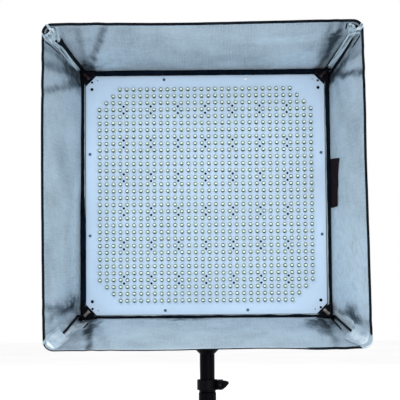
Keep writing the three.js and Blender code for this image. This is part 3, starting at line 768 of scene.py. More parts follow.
def column_plan(straight, arc):
    """(side, kind, value) for each column round the skirt. On a wall, value runs from -1 to 1 along it; on
    the turn at the wall's far end, from 0 to 1."""
    plan = []
    for side in range(4):
        plan += [(side, "wall", -1 + 2 * k / straight) for k in range(straight + 1)]
        plan += [(side, "turn", k / arc) for k in range(1, arc)]
    return plan


def rim_point(side, kind, value, half_out, half_along, radius):
    """A place on a rectangle with rounded corners round the axis, and its outward direction."""
    out, along = SIDES[side]
    if kind == "wall":
        return out * half_out + along * value * (half_along - radius), out.copy()
    turn = value * math.pi / 2
    normal = out * math.cos(turn) + along * math.sin(turn)
    return out * (half_out - radius) + along * (half_along - radius) + normal * radius, normal


def wall_point(side, kind, value, v):
    """The point on the taut skirt, and its outward normal, with x and z relative to the pivot."""
    place, normal = rim_point(side, kind, value, *wall_halves(side, v), corner_radius(v))
    facing = normal * math.cos(LEAN) + BACKWARD * math.sin(LEAN)
    return place + Vector((0, y_at(v), 0)), facing


# Creases run from near an inner corner to the open edge: wall, its end, distance from the seam at the
# inner edge and at the open edge, inward lift and width, all in mm, then how much shade is painted along it.
CREASES = [
    (0, 1, 10, 66, 2.6, 6, 0.42), (0, 1, 9, 34, 1.4, 5, 0.10), (0, -1, 16, 24, 1.8, 7, 0.14),
    (1, -1, 13, 17, 2.0, 5, 0.24), (1, -1, 20, 36, 1.6, 7, 0.10), (1, 1, 14, 82, 2.4, 7, 0.22),
    (1, 1, 8, 40, 1.2, 6, 0.08), (2, -1, 18, 88, 2.6, 7, 0.22), (2, -1, 10, 46, 2.2, 8, 0.20),
    (2, -1, 5, 22, 1.8, 6, 0.16), (2, 1, 16, 52, 2.2, 8, 0.18), (2, 1, 30, 30, 1.6, 6, 0.10),
    (3, -1, 12, 56, 2.6, 6, 0.32), (3, -1, 24, 84, 1.6, 9, 0.08), (3, 1, 18, 40, 2.2, 9, 0.16),
]
# Painted shade patches: wall, its end, distance from the seam and from the inner edge, half sizes, how much
# shade is painted. A value below 0 is a paler place, a painted highlight.
SHADE_PATCHES = [
    (0, 1, 15, 40, 7, 60, 0.32), (2, -1, 8, 70, 9, 50, 0.10),
    (0, -1, 23, 88, 12, 34, 0.36), (0, 1, 10, 12, 14, 16, 0.24), (1, -1, 13, 98, 7, 32, 0.36),
    (1, 1, 12, 14, 15, 20, 0.22), (2, -1, 16, 40, 17, 46, 0.20), (2, 1, 28, 38, 15, 30, 0.38),
    (2, 1, 36, 84, 13, 40, 0.12), (3, -1, 25, 46, 8, 28, 0.36), (3, -1, 17, 56, 4, 16, 0.42),
    (3, 1, 24, 30, 20, 22, 0.46), (3, 1, 30, 74, 14, 34, 0.20), (3, -1, 150, 3, 46, 7, 0.22),
    (1, -1, 92, 100, 44, 11, -0.14),
    (0, -1, 90, 80, 85, 95, -0.20), (3, 1, 200, 80, 180, 110, -0.04), (1, -1, 62, 30, 36, 34, -0.12),
    (1, 1, 62, 60, 34, 60, -0.09), (2, 1, 120, 22, 90, 30, -0.12),
]


def smooth_step(value):
    t = max(0.0, min(1.0, value))
    return t * t * (3 - 2 * t)


def bell(offset, width):
    """1 in the middle, falling to about a third at the width."""
    return math.exp(-(offset / width) ** 2)


def ripple(across, deep, seed, size):
    return noise.noise(Vector((across / size, deep / size, seed)))


def cloth_marks(side, end, across, deep):
    """The cloth's inward lift in mm and the shade painted on it, at a place in mm from a seam and from the
    inner edge.
    """
    lift, painted_shade_and_light = 0.0, 0.0
    drift = 3.5 * ripple(across, deep, side * 3.1 + end, 30) + 1.2 * ripple(across, deep, side + end, 9)
    for wall, wall_end, start, finish, height, width, shade_weight in CREASES:
        if (wall, wall_end) != (side, end):
            continue
        q = across + drift - start - (finish - start) * deep / SLANT
        bulge = bell(q, width)
        hollow = bell(q + 1.7 * width, 1.3 * width)
        lift += height * (bulge - 0.8 * hollow) * (0.5 + 0.5 * min(1, deep / 60))
        # Painted shade along the hollow beside each crease.
        shadow = bell(q + 0.5 * width, 0.75 * width)
        painted_shade_and_light += shade_weight * shadow * (0.75 + 0.6 * ripple(across, deep, 8.8, 14))
    for wall, wall_end, place, depth, half_across, half_deep, shade_weight in SHADE_PATCHES:
        if (wall, wall_end) != (side, end):
            continue
        a = (across + 2.2 * drift - place) / half_across
        d = (deep + 6 * ripple(across, deep, 5.5, 12) - depth) / half_deep
        patch = math.exp(-(a * a + d * d) ** 1.5)
        painted_shade_and_light += shade_weight * patch * (0.8 + 1.1 * ripple(across, deep, 2.2 + wall, 7))
    # Painted shade, darkest next to the corner seam.
    painted_shade_and_light += 0.07 * max(0.0, 1 - (across + drift) / (16 + 0.42 * deep))
    return lift, painted_shade_and_light


def make_folds():
    """Finer creases that fan out of each inner corner on both of its walls."""
    rng = random.Random(21)
    folds = {}
    for side in range(4):
        for end in (-1, 1):
            folds[side, end] = [
                (rng.uniform(2, 16), rng.uniform(0, 12), math.radians(rng.uniform(4, 84)),
                 rng.uniform(45, 130), rng.uniform(3, 6), rng.uniform(0.5, 1.3) * rng.choice((1, 1, -0.7)))
                for _ in range(6)]
    return folds


FOLDS = make_folds()


def fine_creases(side, end, across, deep):
    """The finer creases' inward lift in mm and the shade painted in their hollows."""
    lift, painted_shade_and_light = 0.0, 0.0
    for start_a, start_d, heading, length, width, height in FOLDS[side, end]:
        da, dd = across - start_a, deep - start_d
        p = da * math.cos(heading) + dd * math.sin(heading)
        q = -da * math.sin(heading) + dd * math.cos(heading)
        if -10 < p < length:
            t = max(0.0, p) / length
            spread = width * (0.55 + 0.9 * t)
            fade = (1 - t) ** 1.2 * min(1.0, (p + 10) / 18)
            lift += height * fade * bell(q, spread)
            hollow = fade * bell(q - 1.6 * spread, spread)
            lift -= 0.45 * height * hollow
            # Painted shade in each fold's hollow.
            painted_shade_and_light += 0.07 * abs(height) * hollow
    return lift, painted_shade_and_light


def long_folds(across, deep):
    """Shallow drag folds along the bottom wall, running away from its left end."""
    along = across + 0.2 * deep
    q = deep - 92 + 0.42 * (across - 60)
    return bell(along - 120, 90) * (1.5 * bell(q, 9) - 1.2 * bell(q - 22, 10) + 0.9 * bell(q + 24, 9))


def inner_edge(side, value):
    """How far in mm the lining is gathered in at its inner edge: most along the bottom."""
    lean = 0.6 * noise.noise(Vector((side * 5.1, value * 4, 1.5)))
    if side == 3:
        return 2.6 + lean
    if side == 2:
        return 0.6 + lean + 0.8 * math.tanh(-6 * value)
    return 0.7 + lean if side == 1 else 0.6 + 0.6 * lean


def cloth_state(side, kind, value, v):
    """How far, in metres, the hanging cloth stands inward of the taut surface, and the shade painted there.
    """
    half_along = wall_halves(side, v)[1] / MM
    deep = v * SLANT
    if kind == "turn":
        low = cloth_marks(side, 1, 0.0, deep)[1] * (1 - value)
        high = cloth_marks((side + 1) % 4, -1, 0.0, deep)[1] * value
        return 0.0, low + high
    across_low = (1 + value) * half_along
    across_high = (1 - value) * half_along
    free = smooth_step(min(across_low, across_high) / 24)
    free *= min(1.0, 0.1 + max(0.0, deep) / 22) * min(1.0, 0.15 + (SLANT - deep) / 30)
    lift_low, shade_low = cloth_marks(side, -1, across_low, deep)
    lift_high, shade_high = cloth_marks(side, 1, across_high, deep)
    fine_low, fine_shade_low = fine_creases(side, -1, across_low, deep)
    fine_high, fine_shade_high = fine_creases(side, 1, across_high, deep)
    lift = lift_low + lift_high + fine_low + fine_high
    spot = Vector((side * 7.3 + value * 1.9, v * 1.35, 2.0))
    lift += 2.4 * noise.noise(spot * 1.4) + 1.0 * rough_noise(spot * 3.3) + 0.3 * rough_noise(spot * 13)
    if side == 3:
        lift += long_folds(across_low, deep)
    lift += 2.2 * math.sin(math.pi * max(0, min(1, v))) * (1 - value * value)
    return lift * free * MM, shade_low + shade_high + fine_shade_low + fine_shade_high


def hem_wander(side, value, v):
    """Sideways drift of the wall near the open edge, in metres, outward."""
    far = max(0.0, v - 0.3) / 0.7
    drift = 1.3 * noise.noise(Vector((side * 3.1 + value * 1.3, 4.4, 0.3)))
    if side == 3:
        drift += 2.0 * bell(value - 0.76, 0.22) + 1.2 * bell(value + 0.25, 0.3)
    if side == 1:
        drift -= 1.6 * bell(value - 0.2, 0.5)
    if side == 2:
        drift += 1.4 * (1 - value * value)
    return drift * far * far * MM


# How far each rod has bent from square at its tip: sideways and up, in mm.
ROD_BEND = {"top_right": (-4.2, 4.2), "top_left": (1.0, 2.5), "bottom_left": (2.8, -1.2),
            "bottom_right": (1.5, 0.2)}


def rod_bend(corner, v):
    x, z = ROD_BEND[corner]
    return Vector((x, 0, z)) * MM * max(0.0, v) ** 1.3


def cloth_point(side, kind, value, v):
    """A place on the hanging cloth, its outward normal and the shade painted there."""
    place, facing = wall_point(side, kind, value, v)
    end = 1 if kind == "turn" else value
    inward, painted_shade_and_light = cloth_state(side, kind, value, v)
    place = place - facing * inward + facing * hem_wander(side, min(1, end), v)
    share = (1 + end) / 2
    place += rod_bend(CORNERS[side - 1], v) * (1 - share) + rod_bend(CORNERS[side], v) * share
    return PIVOT + Vector((place.x, place.y - PIVOT.y, place.z)), facing, painted_shade_and_light


def add_uv(piece, coordinates):
    """UVs in metres for each vertex, for the weave."""
    layer = piece.data.uv_layers.new(name="UVMap")
    loops = np.zeros(len(piece.data.loops), int)
    piece.data.loops.foreach_get("vertex_index", loops)
    layer.data.foreach_set("uv", np.array(coordinates, float)[loops].ravel())


def add_numbers(piece, name, values):
    layer = piece.data.attributes.new(name, "FLOAT", "POINT")
    layer.data.foreach_set("value", values)


def add_skirt():
    """The lining and the shell are one sewn sheet each, all the way round, joined at the hem and the band."""
    plan = column_plan(120, 6)
    rows = 54
    half_gap = 0.55  # mm, from the middle of the two sheets to each of them
    lining, shell, uv, shade_weight = [], [], [], []
    for i in range(rows):
        v = LAP + (1 - LAP) * i / (rows - 1)
        for side, kind, value in plan:
            place, facing, painted_shade_and_light = cloth_point(side, kind, value, v)
            gathered = 0.0
            if v > -0.012 and kind == "wall":
                gathered = inner_edge(side, value) * math.exp(-max(0, v) / 0.08)
                gathered *= min(1, (1 - abs(value)) * 10)
            lining.append(place - facing * (half_gap + gathered) * MM)
            shell.append(place + facing * half_gap * MM)
            uv.append((side + (place - PIVOT).dot(SIDES[side][1]), v * SLANT * MM))
            shade_weight.append(painted_shade_and_light)
    columns = len(plan)
    faces = [tuple(reversed(f)) for f in grid_faces(rows, columns, wrap=True)]
    for name, verts, look, slot, ways, nodes in (
            ("skirt_lining", lining, SILVER, "silver_cloth", faces,
             ("skirt_right", "skirt_top", "skirt_left", "skirt_bottom")),
            ("skirt_shell", shell, BLACK, "black_cloth", [tuple(reversed(f)) for f in faces], ())):
        piece = mesh_piece(name, verts, ways, [look])
        add_uv(piece, uv)
        # Painted shade for the lining's creases and corners, and paler painted highlights where the value is
        # below 0.
        add_numbers(piece, "painted_shade_and_light", shade_weight)
        soften(piece, 0.45)
        own(piece, "head", slot, *nodes)


def sweep(path_frames, section, closed=True, widths=None):
    """A band swept along a path: each frame is (origin, x axis, y axis); the section is in mm."""
    verts = []
    for k, (origin, x_axis, y_axis) in enumerate(path_frames):
        wide = widths[k] if widths else 1
        for a, b in section:
            verts.append(origin + (x_axis * a * wide + y_axis * b) * MM)
    count, rows = len(section), len(path_frames)
    faces = grid_faces(rows, count, wrap=True, closed=closed)
    if not closed:
        faces.append(tuple(reversed(range(count))))
        faces.append(tuple(range((rows - 1) * count, rows * count)))
    return verts, faces


def oval(half_a, half_b, steps, power=1.0):
    """A section's outline in mm; a power below 1 squares it off."""
    points = []
    for k in range(steps):
        t = 2 * math.pi * k / steps
        c, s = math.cos(t), math.sin(t)
        points.append((half_a * math.copysign(abs(c) ** power, c),
                       half_b * math.copysign(abs(s) ** power, s)))
    return points


def uv_along(verts, count):
    """UVs for a swept band: length along it and distance round its section."""
    coordinates = []
    run = 0.0
    for i in range(len(verts) // count):
        if i:
            run += (verts[i * count] - verts[(i - 1) * count]).length
        for j in range(count):
            coordinates.append((run, j * 0.002))
    return coordinates


def add_hem():
    """The black tape that closes the skirt's open edge, drawn thinner along most of the bottom."""
    path, widths = [], []
    for side, kind, value in column_plan(70, 8):
        place, facing, _ = cloth_point(side, kind, value, 0.992)
        forward = -BACKWARD
        forward = (forward - facing * forward.dot(facing)).normalized()
        path.append((place + facing * 0.25 * MM, facing, forward))
        below = PIVOT.z - place.z - SKIRT_HALF_Z
        right_end = smooth_step((place.x - 110 * MM) / (50 * MM))
        widths.append(1 - 0.45 * smooth_step((below + 10 * MM) / (6 * MM)) * (1 - right_end))
    section = oval(1.35, 3.2, 12, 0.7)
    verts, faces = sweep(path, section, widths=widths)
    piece = mesh_piece("skirt_hem", verts, faces, [HEM])
    add_uv(piece, uv_along(verts, len(section)))
    own(piece, "head", "black_cloth")


def add_seams():
    """The sewn seams down the shell's four corners, each under a narrow binding."""
    section = oval(2.4, 0.6, 10)
    for side, corner in enumerate(CORNERS):
        out, along = SIDES[side]
        across = (along - out).normalized()
        route = []
        for k in range(40):
            place, facing, _ = cloth_point(side, "turn", 0.5, 0.02 + 0.955 * k / 39)
            ridge = 1.0 + 0.12 * math.sin(k * 2.1)
            route.append((place + facing * ridge * MM, across, facing))
        verts, faces = sweep(route, section, closed=False)
        piece = mesh_piece(f"shell_seam_{corner}", verts, faces, [HEM])
        clean(piece, 60)
        add_uv(piece, uv_along(verts, len(section)))
        own(piece, "head", "black_cloth")


def band_reach(side, kind, value):
    """How far in mm the band's soft edge rolls in over the lip: it has slipped back along the right side
    and the upper left, and covers the lip elsewhere."""
    place = Vector((side * 9.7 + value * 3.6, 0.7, 11.7))
    wave = noise.noise(place * 2.2)
    fine = noise.noise(place * 7.5)
    if kind == "turn":
        return 5.2
    covers = {0: 4.5 + 1.1 * value, 1: 6.6, 2: 5.2 + 0.9 * math.tanh(7 * (value - 0.02)), 3: 5.0}[side]
    ends = max(0.0, (abs(value) - 0.86) / 0.14)
    covers += (5.2 - covers) * ends
    return covers + 0.8 * wave + 0.5 * fine


def add_band():
    """The elastic band: its sleeve grips the housing's sides, and its soft edge rolls over the lip."""
    front = (LIP_FRONT - PIVOT.y) / MM
    verts = []
    half = HOUSING_HALF + 0.8 * MM
    for side, kind, value in column_plan(110, 6):
        place, normal = rim_point(side, kind, value, half, half, 6 * MM)
        place = PIVOT + Vector((place.x, 0, place.z))
        roll = -band_reach(side, kind, value)
        puff = 0.5 * noise.noise(Vector((place.x * 90, place.z * 90, 3.1)))
        outer = 2.0 if side != 3 or kind == "turn" else 1.7
        section = [
            (roll, front - 0.7), (roll - 0.2, front - 1.6), (roll + 0.9, front - 2.6 + puff),
            (-0.6, front - 3.1 + puff), (1.3, front - 2.4), (outer, front + 1),
            (1.9, front + 10 + puff), (1.8 + 0.4 * puff, front + 20), (1.5, front + 28), (0.2, front + 28.6),
            (0.1, front + 10), (0.0, front - 0.5),
        ]
        for a, b in section:
            verts.append(place + (normal * a + BACKWARD * b) * MM)
    count = len(section)
    faces = grid_faces(len(verts) // count, count, wrap=True, closed=True)
    piece = mesh_piece("elastic_band", verts, faces, [ELASTIC])
    add_uv(piece, uv_along(verts, count))
    soften(piece, rounder=True)
    own(piece, "head", "black_cloth", "skirt_band")


def seam_point(corner, v, inward_mm, swing=0.0):
    """A place inside a corner of the skirt: inward along the diagonal, swung towards a wall."""
    side = CORNERS.index(corner)
    out, along = SIDES[side]
    half_out, half_along = wall_halves(side, v)
    diagonal = (out + along).normalized()
    cross = (along - out).normalized()
    place = out * half_out + along * half_along - diagonal * inward_mm * MM + cross * swing * MM
    place += rod_bend(corner, v)
    return PIVOT + Vector((place.x, y_at(v) - PIVOT.y, place.z)), diagonal, cross


# How far in mm each rod leans to one side of its seam at the inner end, and where it meets the seam.
ROD_LEAN = {"top_right": (0.0, 1.0), "top_left": (0.0, 1.0), "bottom_left": (-7.2, 0.58),
            "bottom_right": (4.2, 0.64)}


def rod_swing(corner, v):
    lean, meets = ROD_LEAN[corner]
    return lean * max(0.0, 1 - max(0.0, v) / meets)


def rod_inward(v):
    return 5.4 + 2.2 * max(0.0, v)


def wall_inward(v, swing):
    """How far in mm the rounded corner's wall stands in from the sharp corner, at a swing to one side."""
    radius = corner_radius(v) / MM
    if abs(swing) >= radius / math.sqrt(2):
        return abs(swing)
    return radius * math.sqrt(2) - math.sqrt(radius * radius - swing * swing)


def strip(name, corner, spans, look, slot, crinkle, seed, thickness=0.8, nodes=(), flat=None,
          covers_from=-1.0):
    """A cloth strip along a corner seam, over the rod past the depth covers_from and under it before.
    spans gives (v, lift off the wall, swing low, swing high) in mm; a lift below 0 is outside the skirt."""
    across, per_span = 11, 9
    steps = per_span * (len(spans) - 1) + 1
    verts, uv, edge = [], [], []
    for i in range(steps):
        position = i / per_span
        k = min(int(position), len(spans) - 2)
        f = position - k
        v, lift, low, high = (a + (b - a) * f for a, b in zip(spans[k], spans[k + 1]))
        for j in range(across):
            s = j / (across - 1)
            swing = low + (high - low) * s
            wobble = crinkle * (noise.noise(Vector((position * 0.9 + seed, s * 5.5, seed))) +
                                0.7 * noise.noise(Vector((position * 2.0 + seed, s * 13, 2.2))))
            inward = wall_inward(min(1, v), swing) + lift
            if lift > 0:
                beside = swing - rod_swing(corner, v)
                hump = rod_inward(v) + 2.8 - 0.03 * beside * beside
                before = 1 - smooth_step((v - covers_from) / 0.05)
                at_hem = smooth_step((v - 0.965) / 0.02)
                hump -= 14 * before + 14 * at_hem
                inward = 0.9 * math.log(math.exp(inward / 0.9) + math.exp(hump / 0.9)) + max(-0.4, wobble)
            place, _, _ = seam_point(corner, min(1.03, v), inward, swing)
            verts.append(place)
            uv.append((s * (high - low) * MM, i * 0.004))
            outside = v > 0.98 or (lift < 1 and v > 0.93)
            # Painted shade: darker towards the strip's sides, at its inner end and where it lies outside the
            # skirt.
            edge_shade = abs(2 * s - 1) ** 2 + (0.6 if i == 0 else 0) + (1.6 if outside else 0)
            edge.append(edge_shade)
    piece = mesh_piece(name, verts, grid_faces(steps, across), [look])
    add_uv(piece, uv)
    add_numbers(piece, "edge", edge)
    soften(piece, thickness, rounder=True)
    own(piece, "head", slot, *nodes)


def rod_piece(corner):
    """The glass-fibre rod: out of the ferrule across the corner, then up the seam into its pocket."""
    route = [(FERRULE_V, 20.0, 0.0), (FERRULE_V, 12.0, 0.0)]
    for v in (0.09, 0.16, 0.3, 0.5, 0.7, 0.96):
        swing = rod_swing(corner, v)
        route.append((v, max(rod_inward(v), wall_inward(v, swing) + 3.3), swing))
    points = [seam_point(corner, v, inward, swing)[0] for v, inward, swing in route]
    curve = bpy.data.curves.new(f"rod_{corner}", "CURVE")
    curve.dimensions = "3D"
    curve.bevel_depth = ROD_RADIUS
    curve.bevel_resolution = 4
    curve.use_fill_caps = True
    spline = curve.splines.new("BEZIER")
    spline.bezier_points.add(len(points) - 1)
    for point, place in zip(spline.bezier_points, points):
        point.co = place
        point.handle_left_type = point.handle_right_type = "AUTO"
    temporary = link(curve, "rod_curve")
    graph = bpy.context.evaluated_depsgraph_get()
    mesh = bpy.data.meshes.new_from_object(temporary.evaluated_get(graph))
    bpy.data.objects.remove(temporary)
    piece = link(mesh, f"rod_{corner}")
    mesh.materials.clear()
    mesh.materials.append(ROD)
    mesh.shade_smooth()
    own(piece, "head", "rod_fibre", f"skirt_rod_{corner}")


def ferrule_piece(corner):
    """The metal ferrule lies on the corner piece, pointing out of the corner, and holds the rod's end."""
    start, _, _ = seam_point(corner, FERRULE_V, 23.5)
    end, _, _ = seam_point(corner, FERRULE_V, 12.8)
    # The upper ferrules take the darkened brass: painted shade.
    look = SHADED_BRASS if "top" in corner else BRASS
    long = (end - start).length / MM
    profile = [(0, 0), (2.5, 0), (2.9, 0.5), (2.9, long * 0.34), (2.5, long * 0.4), (2.5, long - 0.5),
               (2.2, long), (0, long)]
    piece = lathe_piece(f"ferrule_{corner}", profile, start, end - start, look, 24)
    own(piece, "head", "dc_metal")


def add_corners():
    for corner in CORNERS:
        refined(f"corner_socket_{corner}", "head", "corner_plastic", CORNER_PLASTIC, 0.5)
        rod_piece(corner)
        ferrule_piece(corner)
    add_pockets()


def over_hem(low, high):
    """The spans that take a strip round the hem and down the outside."""
    return ((0.985, 2.4, low, high), (1.028, 0.2, low, high), (0.985, -3.0, low, high),
            (0.94, -2.6, low * 0.9, high * 0.9))


def silver_strip(kind, corner, spans, look, crinkle, seed, number="", **more):
    strip(f"{kind}_{corner}{number}", corner, spans, look, "silver_cloth", crinkle, seed, **more)


def pocket(corner, spans, look, crinkle, seed, flat, **more):
    """The silver pocket that takes a rod's tip."""
    silver_strip("pocket", corner, spans, look, crinkle, seed, thickness=0.9,
                 nodes=(f"rod_pocket_{corner}",), flat=flat, **more)


def black_strip(kind, corner, spans, seed=2, number=""):
    strip(f"{kind}_{corner}{number}", corner, spans, HEM, "black_cloth", 0.2, seed, thickness=0.7)


def add_pockets():
    """Silver pockets take the rods' ends; sleeves and tapes run down the seams, and beside some of them dark
    strips are painted shadow and a pale strip a painted highlight.
    """
    add_top_left_pocket("top_left")
    add_top_right_pocket("top_right")
    add_bottom_left_pocket("bottom_left")
    add_bottom_right_pocket("bottom_right")
    add_stitches()


def add_top_left_pocket(corner):
    pocket(corner, ((0.73, 1.6, -8, 7), (0.86, 1.8, -11, 10), (0.965, 2.2, -12, 12)),
           FOIL, 2.2, 4, (0.034, 0.023))
    silver_strip("pocket_flap", corner, ((0.93, 2.4, -6, -1), *over_hem(-5, -1.5)), FOIL, 0.8, 9, "_1")
    silver_strip("pocket_flap", corner, ((0.91, 2.4, 6, 12), *over_hem(9, 12.5)), FOIL, 0.8, 12, "_2")
    silver_strip("sleeve", corner, ((0.03, 1.5, -0.6, 2.5), (0.3, 1.5, -0.4, 6.4), (0.62, 1.7, -0.8, 5.4),
                                    (0.74, 1.7, 2, 6)), FOIL, 0.7, 5)
    black_strip("tape", corner, ((0.0, 1.8, -5.6, -0.6), (0.35, 1.8, -5.6, -0.6), (0.6, 2.0, -6.4, -1),
                                 (0.72, 2.6, -7.5, 1.5), (0.79, 2.8, -6, 3)))
    black_strip("edge", corner, ((0.55, 0.8, 7.6, 8.8), (0.75, 0.8, 10, 11.2), (0.95, 1.2, 13, 14.4)), 6)


def add_top_right_pocket(corner):
    pocket(corner, ((0.76, 1.6, -3, 4), (0.88, 1.9, -6, 9), (0.965, 2.2, -10, 11)),
           FOIL, 2.2, 17, (0.028, 0.021))
    silver_strip("pocket_flap", corner, ((0.93, 2.4, -7, -1), *over_hem(-8, -2)), FOIL, 0.9, 21)
    silver_strip("sleeve", corner, ((0.03, 1.5, -3.6, 3.5), (0.4, 1.5, -4.3, 3.7), (0.8, 1.7, -3.6, 3.5)),
                 FOIL, 1.1, 8)
    # Both dark strips beside the sleeve are painted shadow, black sheets where the sleeve's edges cast shade.
    black_strip("tape", corner, ((0.0, 1.4, -8.6, -3.2), (0.35, 1.4, -8.6, -3.8), (0.62, 1.4, -6.8, -3.7),
                                 (0.78, 1.4, -4.8, -3.3)), number="_1")
    black_strip("tape", corner, ((0.02, 1.4, 3.0, 5.4), (0.4, 1.4, 3.3, 5.2), (0.6, 1.4, 3.2, 4.2)), 3, "_2")
    black_strip("loop", corner, ((0.68, 1.0, -12.6, -11.4), (0.8, 1.2, -13, -11), (0.95, 1.0, -13, -11)),
                7, "_1")
    black_strip("loop", corner, ((0.84, 1.0, 10, 11.2), (0.9, 1.0, 11, 12.4), (0.96, 1.2, 12, 13)), 8, "_2")


def add_bottom_left_pocket(corner):
    pocket(corner, ((0.10, 0.6, 3.5, 8), (0.17, 0.6, 0, 10.5), (0.26, 0.6, -4, 12), (0.4, 0.6, -8, 8.5),
                    (0.53, 0.9, -11, 9), (0.64, 1.5, -12, 11), (0.8, 1.9, -12.5, 12.5),
                    (0.955, 2.1, -12.5, 12), (0.99, 1.5, -10.5, 9.5)),
           SOFT_FOIL, 1.3, 26, (0.13, 0.020), covers_from=0.56)
    silver_strip("pocket_flap", corner, ((0.9, 2.2, -9, -4), *over_hem(-9.5, -5.5)), SOFT_FOIL, 0.7, 29)
    # A fold edge at the seam: the pale strip is a painted highlight, and the dark strip beside it is painted
    # shade.
    silver_strip("painted_highlight", corner, ((0.0, 1.0, 7.2, 9.0), (0.23, 1.0, 10.2, 11.6)), SOFT_FOIL, 0.2, 31,
                 covers_from=2.0)
    black_strip("tape", corner, ((0.0, 1.0, 9.4, 11.4), (0.27, 1.0, 11.8, 13.4)), 9)


def add_bottom_right_pocket(corner):
    pocket(corner, ((0.49, 0.8, -3, 2.5), (0.56, 1.0, -7, 8), (0.64, 1.5, -11, 12), (0.74, 1.7, -15.5, 12.5),
                    (0.85, 1.9, -14, 13), *over_hem(-10, 12)),
           SOFT_FOIL, 1.5, 33, (0.10, 0.025), covers_from=0.58)
    silver_strip("sleeve", corner, ((0.02, 0.7, 2.0, 9), (0.1, 0.7, 1.8, 12), (0.3, 0.7, 1.2, 12.5),
                                    (0.56, 0.8, 1, 12.5)), SOFT_FOIL, 0.4, 14, covers_from=2.0)
    black_strip("tape", corner, ((0.0, 1.0, -2.4, 0), (0.15, 0.9, -4.0, -1.8), (0.28, 0.8, -5.4, -3.2),
                                 (0.42, 0.8, -7.6, -6.2)), 5)


def add_stitches():
    """Hand stitches in black thread along the lower right sleeve."""
    parts = []
    rng = random.Random(12)
    stitches = 16
    for k in range(stitches):
        t = k / (stitches - 1)
        v = 0.03 + 0.5 * t
        swing = 5.2 + 3.4 * t + rng.uniform(-0.5, 0.5)
        start, inner, across = seam_point("bottom_right", v, wall_inward(v, swing) + 2.0, swing)
        reach = rng.uniform(2.2, 3.4)
        heading = across * reach if k < 4 else (across + inner * 0.6) * reach * 0.6
        parts.append((*lathe([(0, 0), (0.45, 0.2), (0.45, reach - 0.2), (0, reach)], start, heading, 8), 0))
    piece = merged("sleeve_stitches", parts, [HEM])
    own(piece, "head", "black_cloth")


def add_tab():
    """The hook-and-loop tab that closes the skirt, on the right wall beside the housing."""
    rows, columns = 16, 18
    verts, uv = [], []
    low, high = (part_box("closure_tab")[k].z - PIVOT.z for k in (0, 1))
    for i in range(rows):
        s = i / (rows - 1)
        for j in range(columns):
            t = j / (columns - 1)
            z = low + (high - low) * t - (2.8 + 4.4 * s * t) * MM
            v = -0.02 + (0.335 - 0.085 * (1 - t)) * s
            half = halves(v)[1] - corner_radius(v)
            place, facing, _ = cloth_point(0, "wall", z / half, max(0.0, v))
            place.y = y_at(v)
            curl = 1.4 + 0.5 * noise.noise(Vector((s * 3, t * 4, 0.5))) + 0.8 * s ** 3
            verts.append(place - facing * curl * MM)
            uv.append((t * 0.073, s * 0.048))
    piece = mesh_piece("tab", verts, grid_faces(rows, columns), [TAB])
    add_uv(piece, uv)
    soften(piece, 1.1, rounder=True)
    own(piece, "head", "black_cloth", "closure_tab")


# ---- Stand adapter and yoke ----

def add_adapter():
    low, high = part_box("stem_tube")
    radius, bore = high.x / MM, 9
    rise = high.z / MM - low.z / MM
    profile = [(bore, 0), (radius - 0.6, 0), (radius, 0.6), (radius, rise), (bore, rise), (bore, 0)]
    piece = lathe_piece("stem", profile, (0, 0, low.z), (0, 0, 1), STEM_PAINT, 72)
    own(piece, "stem", "stem_black", "stem_tube")

    low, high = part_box("stem_flange")
    rise = (high.z - low.z) / MM
    profile = [(0, 0), (8.4, 0), (8.7, 0.3), (8.7, 15.4), (11, 15.4), (11.3, 16.2), (18.6, 23.4), (19, 24),
               (19, rise - 0.8), (18.3, rise), (5.2, rise), (5.2, 6), (0, 6)]
    piece = lathe_piece("flange", profile, (0, 0, low.z), (0, 0, 1), STEM_PAINT, 72)
    own(piece, "stem", "stem_black", "stem_flange")
    for node, body, slot, look, bevel in (
            ("socket_barrel", "adapter", "stem_black", STEM_PAINT, 0.3),
            ("clamp_collar", "adapter", "collar_plastic", COLLAR_PLASTIC, 0.5),
            ("clamp_screw", "adapter", "steel", DARK_STEEL, 0.3),
            ("lever_pin", "adapter", "steel", DARK_STEEL, 0.2),
            ("spigot_knob", "spigot_knob", "black_plastic", KNOB, 0.8),
            ("pan_bolt", "stem", "steel", STEEL, 0.4),
            ("yoke", "yoke", "black_paint", PAINT, 0.8)):
        refined(node, body, slot, look, bevel, 3)
    for side in ("left", "right"):
        refined(f"pivot_boss_{side}", "head", "black_paint", PAINT, 0.5)
        refined(f"friction_washer_{side}", "head", "rubber", RUBBER, 0.3)
        refined(f"tilt_stud_{side}", "head", "steel", STEEL, 0.3)
        refined(f"tilt_knob_{side}", f"tilt_knob_{side}", "knob_plastic", KNOB, 1.2, 3)


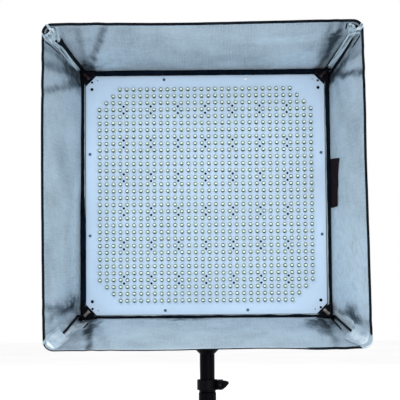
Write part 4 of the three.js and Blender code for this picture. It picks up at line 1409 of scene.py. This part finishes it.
def add_lever():
    """The clamp's lever: two knuckles on the pin, and a flat hook that tapers to a round tip."""
    low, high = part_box("clamp_lever")
    pin = Vector(joint("lever_swing")["pos_m"])
    half_slot = 2.4 * MM
    slot_low, slot_high = pin.z - half_slot, pin.z + half_slot
    verts, faces = [], []
    for bottom, top in ((low.z, slot_low), (slot_high, high.z)):
        rise = (top - bottom) / MM
        profile = [(0, 0), (4.5, 0), (4.95, 0.45), (4.95, rise - 0.45), (4.5, rise), (0, rise)]
        turned_verts, turned_faces = lathe(profile, (pin.x, pin.y, bottom), (0, 0, 1), 40)
        faces += [tuple(len(verts) + k for k in face) for face in turned_faces]
        verts += turned_verts

    right = high.x - 0.1 * MM
    slot_end = pin.x + 4.1 * MM
    hook = [(4.6, 0.6), (2.2, 1.3), (0.6, 2.4), (0, 3.9), (0.5, 5.4), (2.4, 7.6), (4.6, 9.9)]
    edge = [(pin.x, high.z - 0.1 * MM)]
    edge += [(right - back * MM, high.z - down * MM) for back, down in hook]
    edge += [(right - 6.6 * MM, low.z + 1.8 * MM), (right - 8.4 * MM, low.z + 0.7 * MM)]
    edge += [(pin.x, low.z + 0.1 * MM), (pin.x, slot_low), (slot_end, slot_low), (slot_end, slot_high),
             (pin.x, slot_high)]
    base, count = len(verts), len(edge)
    half_thickness = 2.6 * MM
    for y in (pin.y - half_thickness, pin.y + half_thickness):
        verts += [Vector((x, y, z)) for x, z in edge]
    faces.append(tuple(range(base, base + count)))
    faces.append(tuple(reversed(range(base + count, base + 2 * count))))
    for k in range(count):
        following = (k + 1) % count
        faces.append((base + k, base + count + k, base + count + following, base + following))
    piece = mesh_piece("lever", verts, faces, [COLLAR_PLASTIC])
    clean(piece)
    round_edges(piece, 0.8, 3, 50)
    shade_with_edges(piece, 40)
    own(piece, "clamp_lever", "collar_plastic", "clamp_lever")


def add_housing():
    housing = refined("housing_frame", "head", "black_paint", PAINT, 0.8, 3)
    housing.data.materials.append(LIP)
    lip_back = LIP_FRONT + 2 * MM
    for face in housing.data.polygons:
        face.material_index = 1 if face.center.y < lip_back and face.normal.y < -0.5 else 0
    for node, slot, look, bevel, segments in (
            ("led_board", "white_board", WHITE, 0.15, 1),
            ("rear_cover", "black_paint", PAINT, 0.6, 2),
            ("control_panel", "black_plastic", PLASTIC, 0.8, 3),
            ("display_window", "display_glass", GLASS, 0.3, 2),
            ("dimmer_knob", "knob_plastic", KNOB, 0.5, 2),
            ("switch_body", "black_plastic", PLASTIC, 0.5, 2),
            ("power_rocker", "knob_plastic", KNOB, 0.5, 2),
            ("power_inlet", "black_plastic", PLASTIC, 0.4, 2),
            ("dc_inlet", "dc_metal", NICKEL, 0.3, 2),
            ("battery_plate", "black_plastic", PLASTIC, 0.8, 3),
            ("battery_release", "steel", STEEL, 0.6, 2)):
        moving = node in ("dimmer_knob", "power_rocker", "battery_release")
        refined(node, node if moving else "head", slot, look, bevel, segments)
    for k in range(1, 5):
        refined(f"mode_button_{k}", f"mode_button_{k}", "rubber", RUBBER, 0.6, 3)
    for node in ("heat_spreader", "heat_sink", "power_supply"):
        dress_cad(node, ALUMINIUM)
    dress_cad("driver_board", GREEN)


set_camera()
set_light()
add_floor()
add_housing()
add_leds()
add_board_details()
add_rear_details()
add_skirt()
add_hem()
add_seams()
add_band()
add_corners()
add_tab()
add_adapter()
add_lever()
